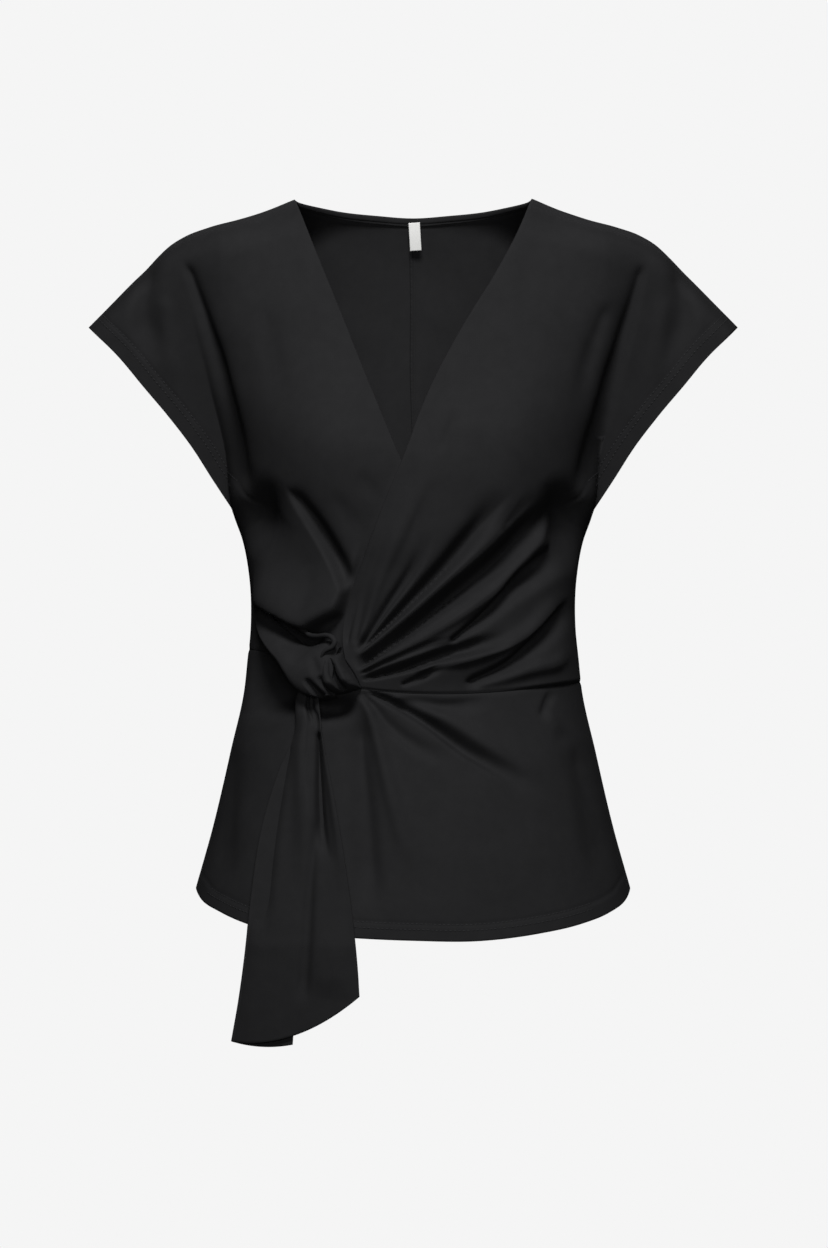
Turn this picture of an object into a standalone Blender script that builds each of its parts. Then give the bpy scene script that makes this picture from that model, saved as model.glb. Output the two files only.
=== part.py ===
"""Twist-front top in black jersey, as worn with no wearer: hollow, open at neck, cuffs and hem.

The top faces -Y, +X is the wearer's left, +Z is up. The origin is on the shoulder line,
midway between the two high neck points, where the shoulders carry it.
Tables and sizes are in millimetres, and MM turns them into metres when a mesh is made.

A panel is drawn flat, as seen from the front, between its four edges. Each of its points
is then carried out to the body form, moved along the form's normal by the folds, and
given the cloth's thickness.
"""
import math
from collections import namedtuple

import bmesh
import bpy
import numpy as np

MM = 0.001
GARMENT = "twist_front_top"

# Driving dimensions
WALL = 1.6                # cloth thickness of the panels
SEAM = 0.3                # space between two pieces at a seam
RIM_REACH = 2.5           # how far inside a sewn rim the form's direction is read
LAP = 3.4                 # how far the under-wrap goes in below the over-wrap
LAP_LIFT = 2.0            # how far the over-wrap's free edge stands up
LAP_WIDE = 45.0           # and the width over which it does
LAP_IN = 12.0             # the under-wrap goes in over this far each side of the free edge
NECK_HALF = 94.0          # from the middle to a high neck point
NECK_RISE = 20.0          # how far the form's ridge rises between the neck points
ARCH = 36.0               # height over which the shoulder rounds over into the chest
SLEEVE_FRONT = 80.0       # how full the front of the sleeve is at the armhole
SLEEVE_TIP = 36.0         # and at its tip
SLEEVE_IN, SLEEVE_OUT = 150.0, 259.0    # from the middle to the armhole, and to the tip
SLEEVE_TOP = 0.03         # share of the sleeve's height in which its top rounds over
SLEEVE_BACK, SLEEVE_ROUND = 46.0, 0.6
BLEND = 6                 # power that rounds the torso into the sleeve
UNDERARM_X, UNDERARM_Z = 142.0, -250.0
UNDERARM_SLOPE = 0.785    # how fast the sleeve's lower line falls outwards
BUST_OUT, BUST_X, BUST_Z = 14.0, 80.0, -205.0
BUST_WIDE, BUST_HIGH = 55.0, 60.0
KNOT_X, KNOT_Z = -50.0, -377.0
KNOT_LIFT, KNOT_REACH = 7.0, 38.0
FULLNESS, FULL_REACH = 8.0, 190.0       # of the gathered cloth round the knot
BELLY_OUT, BELLY_ABOVE, BELLY_BELOW = 13.0, 32.0, 8.0   # the swell of cloth above the tie
LOW_OVER_LAP, LOW_BESIDE = -0.5, -10.5  # how deep a trough may go over the lap, and beside it
LAP_END, LAP_SOFT = 70.0, 40.0          # no under-wrap lies below from here outwards
EDGE_SOFT = 14.0          # folds die away this near to the over-wrap's free edge
RIM_SOFT = 30.0           # folds die away where the form is shallower than this
SEAM_SOFT = 7.0           # and this near to the waist seam
BAND_WALL = 2.0           # of the tie band, which is rolled
BINDING_HIGH, BINDING_WALL = 6.5, 2.4
LABEL_WIDE, LABEL_HIGH, LABEL_THICK = 10.0, 23.0, 1.0
LABEL_X, LABEL_TOP, LABEL_SLANT = 1.0, -11.5, 0.22
LABEL_SEAM_Z = -9.0       # height of the seam it hangs from, inside the back
LABEL_OFF = 1.2           # from the back's form to the label's top

JERSEY = ("black_jersey", (0.0194, 0.0194, 0.0202, 1.0), 0.85)
LABEL_CLOTH = ("white_woven_label", (0.75, 0.75, 0.74, 1.0), 0.7)

Point = namedtuple("Point", "x z")
Section = namedtuple("Section", "z half front back roundness")
Fold = namedtuple("Fold", "x0 z0 x1 z1 x2 z2 width0 width1 rise")
BandRow = namedtuple("BandRow", "top_x top_z low_x low_z top_out mid_out low_out")
LobeRow = namedtuple("LobeRow", "left right z out")
TailRow = namedtuple("TailRow", "left_x left_z right_x right_z out")

# The body form: half width, depth to the front and to the back at each height
SECTIONS = [
    Section(40, 190, 64, 52, 2.9), Section(0, 188, 76, 62, 2.9),
    Section(-50, 182, 86, 76, 2.9), Section(-100, 173, 94, 84, 2.8),
    Section(-150, 161, 101, 88, 2.5), Section(-200, 149, 107, 86, 2.15),
    Section(-250, 142, 103, 80, 2.0), Section(-270, 135, 100, 76, 2.0),
    Section(-300, 129.5, 94, 69, 2.0), Section(-340, 128.5, 88, 63, 2.0),
    Section(-366, 131, 87, 64, 2.05), Section(-390, 133.5, 88, 68, 2.1),
    Section(-440, 144.5, 95, 80, 2.25), Section(-500, 158.5, 104, 94, 2.3),
    Section(-550, 172.5, 111, 104, 2.3), Section(-600, 186, 116, 110, 2.3),
]
# Shoulder and overarm line, from the high neck point out to the sleeve's tip
SHOULDER = [Point(94, 0), Point(114, -8), Point(138, -16), Point(162, -22), Point(180, -28),
            Point(192, -35), Point(204, -46), Point(216, -58), Point(234, -76), Point(259, -101)]
CUFF = [Point(259, -101), Point(233, -126), Point(213, -150), Point(193, -174),
        Point(175, -198), Point(160, -222), Point(142, -250)]
WRAP = [Point(94, 0), Point(84, -26), Point(65, -63), Point(39, -106), Point(16, -149),
        Point(-9, -211), Point(-25, -250), Point(-37, -284), Point(-48, -319),
        Point(-52, -347), Point(-49.5, -366)]
UNDER_WRAP = [Point(-94, 0), Point(-78, -41), Point(-57, -93), Point(-36, -146),
              Point(-9, -211), Point(15, -266), Point(38, -325), Point(60, -391)]
WAIST = [Point(-130.2, -358), Point(-110, -361), Point(-85, -372), Point(-53, -386),
         Point(-26, -390), Point(13, -392), Point(60, -391), Point(100, -387.5),
         Point(133.3, -384)]
HEM = [Point(-172, -548), Point(-166, -555), Point(-150, -563), Point(-120, -573),
       Point(-70, -578), Point(0, -581.5), Point(50, -582), Point(98, -577),
       Point(130, -571), Point(152, -564), Point(166, -556), Point(172, -548)]
BACK_HEM = [Point(0, -567), Point(60, -565.5), Point(120, -560), Point(160, -552),
            Point(172, -548)]
BACK_NECK = [Point(-94, 0), Point(-79, -1.2), Point(-55, -3.8), Point(-30, -5.4),
             Point(0, -7), Point(30, -5.4), Point(55, -3.8), Point(79, -1.2), Point(94, 0)]
KNOT_FACE = [Point(-38.5, -388.6), Point(-42, -379), Point(-49.5, -366)]

# Folds run from (x0, z0) by (x1, z1) to (x2, z2); rise is outwards, a trough is negative
GATHERS = [
    Fold(-44, -371, -9, -316, 12, -258, 2.0, 4.2, -5.5),
    Fold(-44, -372, 8, -316, 73, -226, 2.0, 5.2, -8.0),
    Fold(-43, -370, 18, -310, 92, -232, 2.2, 6.0, 6.5),
    Fold(-41, -377, 34, -322, 116, -240, 3.4, 8.0, -12.0),
    Fold(-14, -360, 42, -320, 108, -258, 4.5, 7.0, 6.5),
    Fold(30, -348, 66, -318, 102, -288, 4.5, 6.0, -9.0),
    Fold(-40, -383, 22, -365, 74, -352, 3.4, 6.5, -9.0),
    Fold(10, -370, 68, -352, 112, -316, 6.5, 7.5, 6.0),
    Fold(44, -378, 84, -350, 122, -318, 6.0, 6.5, -8.0),
]
OVER_WRAP_SOFT = [
    Fold(182, -56, 170, -140, 140, -238, 7.0, 7.0, -5.0),
    Fold(150, -82, 136, -150, 132, -186, 6.0, 6.0, -4.5),
    Fold(205, -90, 196, -112, 188, -140, 9.0, 8.0, 3.0),
    Fold(38, -162, 28, -180, 20, -202, 6.0, 6.0, -2.0),
    Fold(-44, -330, -30, -285, 0, -230, 4.0, 8.0, 2.5),
]
UNDER_WRAP_FOLDS = [
    Fold(-182, -54, -158, -135, -141, -240, 7.0, 7.0, -5.0),
    Fold(-205, -56, -214, -100, -206, -126, 9.0, 8.0, 3.0),
    Fold(-120, -80, -112, -140, -106, -168, 9.0, 9.0, 2.5),
    Fold(-99, -232, -76, -268, -54, -304, 5.0, 6.0, -6.0),
]
# the line along which the belly of cloth above the tie turns in, and the hollow below the tie
BELLY = [Point(-128, -315), Point(-119, -319), Point(-108, -324), Point(-96, -330.5),
         Point(-86, -337), Point(-78, -339), Point(-69, -334), Point(-60, -329), Point(-46, -323)]
BELLY_SIDE, BELLY_FADE = -134.0, 26.0
TIE_HOLLOW = [
    Fold(-142, -318, -106, -366, -84, -412, 10.0, 18.0, -9.0),
]
PEPLUM_FOLDS = [
    Fold(-38, -392, 14, -416, 94, -471, 3.2, 6.0, 6.0),
    Fold(-38, -396, -8, -424, 34, -444, 5.0, 8.0, -3.5),
    Fold(-40, -400, -40, -450, -30, -560, 6.0, 11.0, -4.5),
    Fold(-36, -398, -20, -450, 0, -540, 4.0, 9.0, 3.5),
    Fold(104, -396, 108, -416, 110, -440, 6.0, 8.0, 3.0),
    Fold(-130, -425, -144, -485, -156, -550, 7.0, 10.0, 3.0),
    Fold(120, -430, 132, -490, 140, -548, 9.0, 14.0, 3.5),
]
BACK_FOLDS = [
    Fold(182, -56, 164, -140, 140, -236, 8.0, 8.0, -7.0),
    Fold(132, -262, 88, -300, 40, -336, 7.0, 9.0, 4.5),
    Fold(126, -300, 84, -330, 36, -352, 6.0, 8.0, -3.5),
    Fold(72, -400, 84, -470, 92, -556, 9.0, 14.0, 4.0),
    Fold(118, -410, 130, -480, 140, -545, 9.0, 12.0, -3.5),
]

# The tie band: its upper and lower edges, and how far it stands off the cloth behind it
BAND = [
    BandRow(-120.5, -317, -124, -323, 1.5, 2.0, 1.5),
    BandRow(-115, -327, -120.5, -332.5, 1.5, 3.5, 4.0),
    BandRow(-106.5, -336.4, -115.5, -342.5, 1.6, 6.5, 8.0),
    BandRow(-97.5, -344.0, -109.0, -352.0, 2.0, 9.0, 12.0),
    BandRow(-88.5, -350.6, -101.5, -360.5, 3.0, 11.5, 15.0),
    BandRow(-80.9, -354.6, -94.4, -368.0, 4.5, 13.5, 17.0),
    BandRow(-73.8, -355.0, -88.4, -379.0, 5.5, 14.0, 16.0),
    BandRow(-66.5, -354.0, -83.5, -387.5, 6.0, 12.5, 14.0),
    BandRow(-62, -359.5, -73, -396, 6.0, 9.5, 10.5),
    BandRow(-58.5, -368, -62, -397.5, 4.5, 7.0, 6.5),
]
# The knot's wrap, from behind its top, over the front, to behind its bottom
LOBE = [
    LobeRow(-57, -52, -358.5, 11), LobeRow(-58.5, -52, -361, 17),
    LobeRow(-60.5, -50, -366, 22), LobeRow(-61, -46.5, -373, 25.5),
    LobeRow(-61, -43, -380, 26), LobeRow(-61, -40.5, -386, 23.5),
    LobeRow(-60, -38.5, -391, 18), LobeRow(-57, -40, -393, 12.5),
]
LOBE_THICK, LOBE_CROWN, LOBE_PLEATS, LOBE_PLEAT = 4.5, 2.5, 3, 0.9
LOBE_CENTRE = 10.0        # how far off the form the middle lies that the wrap turns round
# The hanging tail: its two edges, and how far it stands off the form
TAIL = [
    TailRow(-85, -385, -73.5, -385, 11.2), TailRow(-91, -399, -73, -399, 10.8),
    TailRow(-91, -423, -70, -423, 10), TailRow(-105, -454, -65, -451, 8.5),
    TailRow(-118, -499, -57, -492, 8.0), TailRow(-125, -546, -50, -533, 8.0),
    TailRow(-129, -590, -45.5, -570, 8.0), TailRow(-134, -625, -42, -600, 7.5),
    TailRow(-139, -657, -40.5, -624, 7.0),
]
TAIL_SAG = 12.0           # how far the tail's cut end bows down in the middle
TAIL_UNDER = 0.62         # share of the width that the folded-under layer takes
TAIL_GAP = 3.6            # from the front layer to the layer behind it
TAIL_FREE_Z = -585.0      # below this the tail hangs straight
TAIL_RIDGE = 5.0          # height of its lengthwise folds


# ---------------------------------------------------------------- curves and the form

def columns(rows):
    """A table's rows as one array, a column for each named value."""
    return np.array(rows, dtype=float)


def steps(xs, ys, x):
    """A smooth line through the points (xs, ys), read at x; ys may have columns."""
    ys = ys.reshape(len(xs), -1)
    gap = np.diff(xs)[:, None]
    slope = np.diff(ys, axis=0) / gap
    tangent = np.empty_like(ys)
    tangent[0], tangent[-1] = slope[0], slope[-1]
    tangent[1:-1] = (slope[:-1] * gap[1:] + slope[1:] * gap[:-1]) / (gap[:-1] + gap[1:])
    x = np.clip(np.asarray(x, float), xs[0], xs[-1])
    i = np.clip(np.searchsorted(xs, x) - 1, 0, len(xs) - 2)
    g = gap[i]
    t = ((x - xs[i]) / gap[i, 0])[..., None]
    a, b = 2 * t**3 - 3 * t**2 + 1, t**3 - 2 * t**2 + t
    c, d = -2 * t**3 + 3 * t**2, t**3 - t**2
    return a * ys[i] + b * g * tangent[i] + c * ys[i + 1] + d * g * tangent[i + 1]


def along(rows, shares):
    """Points at the given shares of the length of the smooth curve through a table."""
    points = columns(rows)[:, :2]
    length = np.concatenate([[0], np.cumsum(np.hypot(*np.diff(points, axis=0).T))])
    return steps(length, points, np.asarray(shares) * length[-1])


def even(rows, count):
    """A curve cut into a count of equal steps."""
    return along(rows, np.linspace(0, 1, count + 1))


def joined(*lines):
    """Lines end to end, without their doubled points."""
    return np.vstack([lines[0]] + [line[1:] for line in lines[1:]])


def side_line(low, high, count):
    """The side seam between two heights, where the form is widest."""
    z = np.linspace(low, high, count + 1)
    return np.stack([steps(FORM[:, 0], FORM[:, 1], z)[:, 0], z], axis=-1)


def mirrored(rows):
    return [Point(-row.x, row.z) for row in rows]


def ease(x):
    x = np.clip(x, 0, 1)
    return x * x * (3 - 2 * x)


FORM = columns(SECTIONS)[::-1]
RIDGE = columns(SHOULDER)


def ridge_height(x):
    """Height of the form's top line: the shoulder and overarm, and a low rise at the neck."""
    x = np.abs(x)
    neck = NECK_RISE * (1 - (np.minimum(x, NECK_HALF) / NECK_HALF) ** 2)
    arm = steps(RIDGE[:, 0], RIDGE[:, 1], x)[..., 0]
    return np.where(x < NECK_HALF, neck, arm)


def sleeve_front(x, down):
    """The front of the cap sleeve: full below the overarm, then drawn in to the underarm."""
    outwards = np.clip((np.abs(x) - SLEEVE_IN) / (SLEEVE_OUT - SLEEVE_IN), 0, 1)
    full = SLEEVE_FRONT + (SLEEVE_TIP - SLEEVE_FRONT) * outwards
    full = full * ease((np.abs(x) - SLEEVE_IN / 3) / (SLEEVE_IN * 2 / 3))
    return full * (1 - np.exp(-down / SLEEVE_TOP)) * (1 - down)


def depth(x, z, front):
    """How far the form stands out from the plane y = 0 at (x, z), to the front or back."""
    half, ahead, behind, power = np.moveaxis(steps(FORM[:, 0], FORM[:, 1:], z), -1, 0)
    below = np.maximum(ridge_height(x) - z, 0)
    arch = np.sqrt(1 - (1 - np.minimum(below / ARCH, 1)) ** 2)
    out = behind
    if front:
        bust = ((np.abs(x) - BUST_X) / BUST_WIDE) ** 2 + ((z - BUST_Z) / BUST_HIGH) ** 2
        out = ahead + BUST_OUT * np.exp(-bust)
    share = np.minimum(np.abs(x) / half, 1)
    torso = out * (1 - share**power) ** (1 / power) * arch
    under = UNDERARM_Z - UNDERARM_SLOPE * (np.abs(x) - UNDERARM_X)
    down = np.clip(below / np.maximum(ridge_height(x) - under, 1), 0, 1)
    sleeve = SLEEVE_BACK * (4 * down * (1 - down)) ** SLEEVE_ROUND
    if front:
        sleeve = sleeve_front(x, down)
    return (torso**BLEND + sleeve**BLEND) ** (1 / BLEND)


def form(flat, front):
    """The form's points and outward normals at flat points (x, z)."""
    x, z = flat[..., 0], flat[..., 1]
    out = depth(x, z, front)
    step = 1.0
    across = (depth(x + step, z, front) ** 2 - depth(x - step, z, front) ** 2) / (4 * step)
    upward = (depth(x, z + step, front) ** 2 - depth(x, z - step, front) ** 2) / (4 * step)
    normal = np.stack([-across, out, -upward], axis=-1)
    normal /= np.linalg.norm(normal, axis=-1, keepdims=True)
    points = np.stack([x, np.maximum(out, SEAM / 2), z], axis=-1)
    if front:
        points[..., 1] *= -1
        normal[..., 1] *= -1
    return points, normal


# ---------------------------------------------------------------- folds and layers

def nearest(flat, line):
    """Distance from flat points to a line of points, its share there, and the side."""
    best = np.full(flat.shape[:-1], np.inf)
    share = np.zeros_like(best)
    side = np.zeros_like(best)
    count = len(line) - 1
    for i, (a, b) in enumerate(zip(line[:-1], line[1:])):
        ab, ap = b - a, flat - a
        t = np.clip((ap @ ab) / (ab @ ab), 0, 1)
        gap = np.linalg.norm(ap - t[..., None] * ab, axis=-1)
        closer = gap < best
        best = np.where(closer, gap, best)
        share = np.where(closer, (i + t) / count, share)
        side = np.where(closer, np.sign(ap[..., 0] * ab[1] - ap[..., 1] * ab[0]), side)
    return best, share, side


def fold_height(flat, folds):
    """Height of all folds together: each is a soft ridge or trough that tapers off."""
    total = np.zeros(flat.shape[:-1])
    for fold in folds:
        t = np.linspace(0, 1, 13)[:, None]
        start, middle, end = np.array(fold[:6]).reshape(3, 2)
        line = (1 - t) ** 2 * start + 2 * t * (1 - t) * (2 * middle - (start + end) / 2)
        line = line + t**2 * end
        gap, share, _ = nearest(flat, line)
        width = fold.width0 + (fold.width1 - fold.width0) * share
        taper = ease(share / 0.12) * ease((1 - share) / 0.4)
        total += fold.rise * taper * np.exp(-((gap / width) ** 2))
    return total


WRAP_LINE = along(WRAP, np.linspace(0, 1, 41))
WAIST_LINE = along(WAIST, np.linspace(0, 1, 41))


def reach_from_knot(flat):
    return np.hypot(flat[..., 0] - KNOT_X, flat[..., 1] - KNOT_Z)


def knot_lift(flat):
    """The cloth stands out towards the knot."""
    return KNOT_LIFT * np.exp(-((reach_from_knot(flat) / KNOT_REACH) ** 2))


def tie_pull(flat, out):
    """The knot lifts the cloth, and the cloth below the tie is drawn in."""
    return knot_lift(flat) + fold_height(flat, TIE_HOLLOW) * ease(out / RIM_SOFT)


def belly_height(flat):
    """The cloth above the tie swells out to a line, and turns in below it."""
    line = columns(BELLY)
    above = flat[..., 1] - steps(line[:, 0], line[:, 1], flat[..., 0])[..., 0]
    swell = np.exp(-((above / np.where(above > 0, BELLY_ABOVE, BELLY_BELOW)) ** 2))
    return BELLY_OUT * swell * ease((flat[..., 0] - BELLY_SIDE) / BELLY_FADE)


def seam_fade(flat, out):
    """Folds die away at the waist seam and where the form turns the corner at its rim."""
    gap, _, _ = nearest(flat, WAIST_LINE)
    return ease(gap / SEAM_SOFT) * ease(out / RIM_SOFT)


def over_wrap_height(flat, out):
    gap, _, _ = nearest(flat, WRAP_LINE)
    fullness = FULLNESS * ease(1.25 - reach_from_knot(flat) / FULL_REACH)
    folds = fullness + fold_height(flat, GATHERS + OVER_WRAP_SOFT)
    beside = ease((flat[..., 0] - LAP_END) / LAP_SOFT)
    folds = np.maximum(folds, LOW_OVER_LAP + (LOW_BESIDE - LOW_OVER_LAP) * beside)
    edge = LAP_LIFT * ease(1 - gap / LAP_WIDE) * ease(out / RIM_SOFT)
    return knot_lift(flat) + edge + seam_fade(flat, out) * folds * ease(gap / EDGE_SOFT)


def under_wrap_height(flat, out):
    gap, _, side = nearest(flat, WRAP_LINE)
    past = np.where(side < 0, gap, -gap)
    lap = LAP * ease((past + LAP_IN) / (2 * LAP_IN)) * ease(out / RIM_SOFT)
    folds = fold_height(flat, UNDER_WRAP_FOLDS) * ease((LAP_IN / 2 - past) / LAP_IN)
    folds = folds + belly_height(flat) * ease(-past / (2 * LAP_IN))
    return tie_pull(flat, out) - lap + seam_fade(flat, out) * folds


def peplum_height(flat, out):
    return tie_pull(flat, out) + seam_fade(flat, out) * fold_height(flat, PEPLUM_FOLDS)


def back_height(flat, out):
    as_left = np.stack([np.abs(flat[..., 0]), flat[..., 1]], axis=-1)
    return fold_height(as_left, BACK_FOLDS) * ease(out / RIM_SOFT)


# ---------------------------------------------------------------- meshes

def coons(bottom, top, left, right, v):
    """A flat patch between four edges; bottom and top run along u, left and right up v."""
    u = np.linspace(0, 1, len(bottom))[:, None, None]
    v = np.asarray(v)[None, :, None]
    ruled_u = (1 - u) * left[None] + u * right[None]
    ruled_v = (1 - v) * bottom[:, None] + v * top[:, None]
    corners = ((1 - u) * (1 - v) * bottom[0] + u * (1 - v) * bottom[-1]
               + (1 - u) * v * top[0] + u * v * top[-1])
    return ruled_u + ruled_v - corners


def collection(name):
    found = bpy.data.collections.get(name)
    if found is None:
        found = bpy.data.collections.new(name)
        bpy.context.scene.collection.children.link(found)
    return found


def material(kind):
    name, colour, roughness = kind
    found = bpy.data.materials.get(name)
    if found is None:
        found = bpy.data.materials.new(name)
        found.use_nodes = True
        shader = found.node_tree.nodes["Principled BSDF"]
        shader.inputs["Base Color"].default_value = colour
        shader.inputs["Roughness"].default_value = roughness
        shader.inputs["Metallic"].default_value = 0.0
    return found


def wall(name, near, far, kind=JERSEY):
    """A closed body between two grids of points, one for each face of the cloth."""
    rows, cols = near.shape[:2]
    work = bmesh.new()
    near_verts = [[work.verts.new(p * MM) for p in row] for row in near]
    far_verts = [[work.verts.new(p * MM) for p in row] for row in far]
    for i in range(rows - 1):
        for j in range(cols - 1):
            work.faces.new([near_verts[i][j], near_verts[i][j + 1],
                            near_verts[i + 1][j + 1], near_verts[i + 1][j]])
            work.faces.new([far_verts[i][j], far_verts[i + 1][j],
                            far_verts[i + 1][j + 1], far_verts[i][j + 1]])
        for j in (0, cols - 1):
            work.faces.new([near_verts[i][j], near_verts[i + 1][j],
                            far_verts[i + 1][j], far_verts[i][j]])
    for i in (0, rows - 1):
        for j in range(cols - 1):
            work.faces.new([near_verts[i][j], near_verts[i][j + 1],
                            far_verts[i][j + 1], far_verts[i][j]])
    bmesh.ops.recalc_face_normals(work, faces=work.faces)
    bmesh.ops.triangulate(work, faces=work.faces)
    mesh = bpy.data.meshes.new(name)
    work.to_mesh(mesh)
    work.free()
    mesh.shade_smooth()
    mesh.set_sharp_from_angle(angle=math.radians(50))
    mesh.materials.append(material(kind))
    piece = bpy.data.objects.new(name, mesh)
    collection(GARMENT).objects.link(piece)
    return piece


def panel(name, flat, front, height, rims):
    """A cloth panel: the flat patch carried to the form, folded, and given its wall.

    rims pairs each stretch of edge that is sewn to the other side of the top with the
    line of points just inside it: there the edge lies in the plane of the side seams.
    """
    points, normal = form(flat, front)
    for rim, inside in rims:
        inwards = flat[inside] - flat[rim]
        inwards *= RIM_REACH / np.linalg.norm(inwards, axis=-1, keepdims=True)
        _, outwards = form(flat[rim] + inwards, front)
        outwards[..., 1] = 0
        normal[rim] = outwards / np.linalg.norm(outwards, axis=-1, keepdims=True)
        points[rim + (1,)] = -SEAM / 2 if front else SEAM / 2
    out = np.abs(points[..., 1])
    near = points + normal * height(flat, out)[..., None]
    return wall(name, near, near + normal * WALL)


# ---------------------------------------------------------------- the pieces

def front_left():
    """The over-wrap, gathered into the knot: a fan from the knot out to the rim."""
    side = side_line(WAIST[-1].z + SEAM / 2, UNDERARM_Z, 24)
    rim = joined(side, even(CUFF[::-1], 10), even(SHOULDER[::-1], 15))
    v = 1 - (1 - np.linspace(0, 1, 27)) ** 1.6
    face = along(KNOT_FACE, np.linspace(0, 1, len(rim)))
    low = [KNOT_FACE[0]] + [row for row in WAIST if row.x > KNOT_FACE[0].x]
    waist = along(low, v)
    waist[1:, 1] += SEAM / 2
    edge = along(WRAP[::-1], v)
    sewn = [(np.s_[:25, -1], np.s_[:25, -2]), (np.s_[34:, -1], np.s_[34:, -2])]
    return panel("front_left", coons(face, rim, waist, edge, v), True, over_wrap_height, sewn)


def front_right():
    """The under-wrap: shoulder, cuff and side of the wearer's right, and its hidden lap."""
    side = side_line(WAIST[0].z + SEAM / 2, UNDERARM_Z, 13)
    outer = joined(side, even(CUFF[::-1], 10)) * np.array([-1, 1])
    v = np.linspace(0, 1, len(outer))
    inner = along(UNDER_WRAP[::-1], v)
    u = np.linspace(0, 1, 26) ** 1.5
    low = [row for row in WAIST if row.x < UNDER_WRAP[-1].x] + [UNDER_WRAP[-1]]
    bottom = along(low, u)
    bottom[:, 1] += SEAM / 2
    inner[0, 1] += SEAM / 2
    top = along(mirrored(SHOULDER)[::-1], u)
    sewn = [(np.s_[0, :14], np.s_[1, :14]), (np.s_[:, -1], np.s_[:, -2])]
    return panel("front_right", coons(bottom, top, outer, inner, v), True,
                 under_wrap_height, sewn)


def peplum_front():
    """The skirt of the top, from the waist seam down to the hem."""
    even_u = np.linspace(0, 1, 35)
    u = (even_u + 0.5 - 0.5 * np.cos(math.pi * even_u)) / 2
    v = np.linspace(0, 1, 13)
    top = along(WAIST, u) - np.array([0, SEAM / 2])
    bottom = along(HEM, u)
    left = side_line(HEM[0].z, top[0, 1], 12) * np.array([-1, 1])
    right = side_line(HEM[-1].z, top[-1, 1], 12)
    top[0], top[-1], bottom[0], bottom[-1] = left[-1], right[-1], left[0], right[0]
    sewn = [(np.s_[0, :], np.s_[1, :]), (np.s_[-1, :], np.s_[-2, :])]
    return panel("peplum_front", coons(bottom, top, left, right, v), True, peplum_height, sewn)


def below_neck(reach, count):
    """The line that lies this far down the back from the neck edge, over the surface.

    Its points stand closer at the two ends, where the edge turns into the shoulder.
    """
    edge = along(BACK_NECK, 0.5 - 0.5 * np.cos(math.pi * np.linspace(0, 1, count)))
    drop = np.linspace(0, 2 * BINDING_HIGH, 120)
    line = edge.copy()
    for point in line:
        z = point[1] - drop
        out = depth(np.full_like(z, point[0]), z, False)
        length = np.concatenate([[0], np.cumsum(np.hypot(np.diff(out), np.diff(z)))])
        point[1] -= np.interp(reach, length, drop)
    return line


def back(side):
    """One half of the back, from the centre seam out to the side seam and the cuff."""
    sign = 1 if side == "left" else -1
    outer = joined(side_line(BACK_HEM[-1].z, UNDERARM_Z, 14), even(CUFF[::-1], 8))
    v = np.linspace(0, 1, len(outer))
    neck = below_neck(BINDING_HIGH + SEAM, 21)[10:]
    neck[0, 0] = SEAM / 2
    top = np.vstack([neck, even(SHOULDER, 9)])
    shoulder = len(neck)
    top[shoulder - 1:shoulder + 1, 0] += SEAM
    u = np.linspace(0, 1, len(top))
    bottom = along(BACK_HEM, u)
    bottom[0, 0] = SEAM / 2
    bottom[-1] = outer[0]
    inner = bottom[0] + v[:, None] * (top[0] - bottom[0])
    flat = coons(bottom, top, inner, outer, v) * np.array([sign, 1])
    sewn = [(np.s_[-1, :15], np.s_[-2, :15]), (np.s_[shoulder:, -1], np.s_[shoulder:, -2])]
    return panel("back_" + side, flat, False, back_height, sewn)


def back_neck_binding():
    rows = [below_neck(BINDING_HIGH * share, 21) for share in (0.0, 0.5, 1.0)]
    flat = np.stack(rows, axis=1)
    points, normal = form(flat, False)
    near = points - normal * (BINDING_WALL - WALL) / 2
    return wall("back_neck_binding", near, near + normal * BINDING_WALL)


def spread(rows, count):
    """A table's rows read as smooth lines at evenly spaced shares of the table."""
    table = columns(rows)
    return steps(np.arange(len(rows), dtype=float), table, np.linspace(0, len(rows) - 1, count))


def tie_band():
    """The turned band from the side seam to the knot, standing off the cloth behind it."""
    across = np.linspace(0, 1, 8)[:, None]
    rows = spread(BAND, 16)
    top, low, out = rows[:, None, 0:2], rows[:, None, 2:4], rows[:, None, 4:7]
    flat = (1 - across) * top + across * low
    share = across[None, :, 0]
    stand = (out[..., 0] * (1 - share) * (1 - 2 * share) + out[..., 1] * 4 * share * (1 - share)
             + out[..., 2] * share * (2 * share - 1))
    points, normal = form(flat, True)
    folds = np.maximum(fold_height(flat, UNDER_WRAP_FOLDS) + belly_height(flat), 0)
    lift = (stand + WALL + knot_lift(flat) + folds)[..., None]
    near = points + normal * lift
    return wall("tie_band", near, near + normal * BAND_WALL)


def knot():
    """The pleated wrap that passes over the bunched cloth, from behind to behind."""
    base = float(depth(KNOT_X, KNOT_Z, True))
    rows = spread(LOBE, 14)
    across = np.linspace(0, 1, 13)
    crown = LOBE_CROWN * (1 - (2 * across - 1) ** 2)
    pleats = LOBE_PLEAT * (1 - np.cos(2 * math.pi * LOBE_PLEATS * across))
    far = np.zeros((len(rows), len(across), 3))
    near = np.zeros_like(far)
    middle_z, middle_out = KNOT_Z, LOBE_CENTRE
    for i, (left, right, z, out) in enumerate(rows):
        reach = math.hypot(z - middle_z, out - middle_out)
        inwards = LOBE_THICK / reach
        proud = (crown + pleats) / reach
        x = left + (right - left) * across
        for grid, share in ((far, 1 + proud), (near, 1 - inwards)):
            grid[i, :, 0] = x
            grid[i, :, 1] = -(base + middle_out + (out - middle_out) * share)
            grid[i, :, 2] = middle_z + (z - middle_z) * share
    return wall("knot", near, far)


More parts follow.
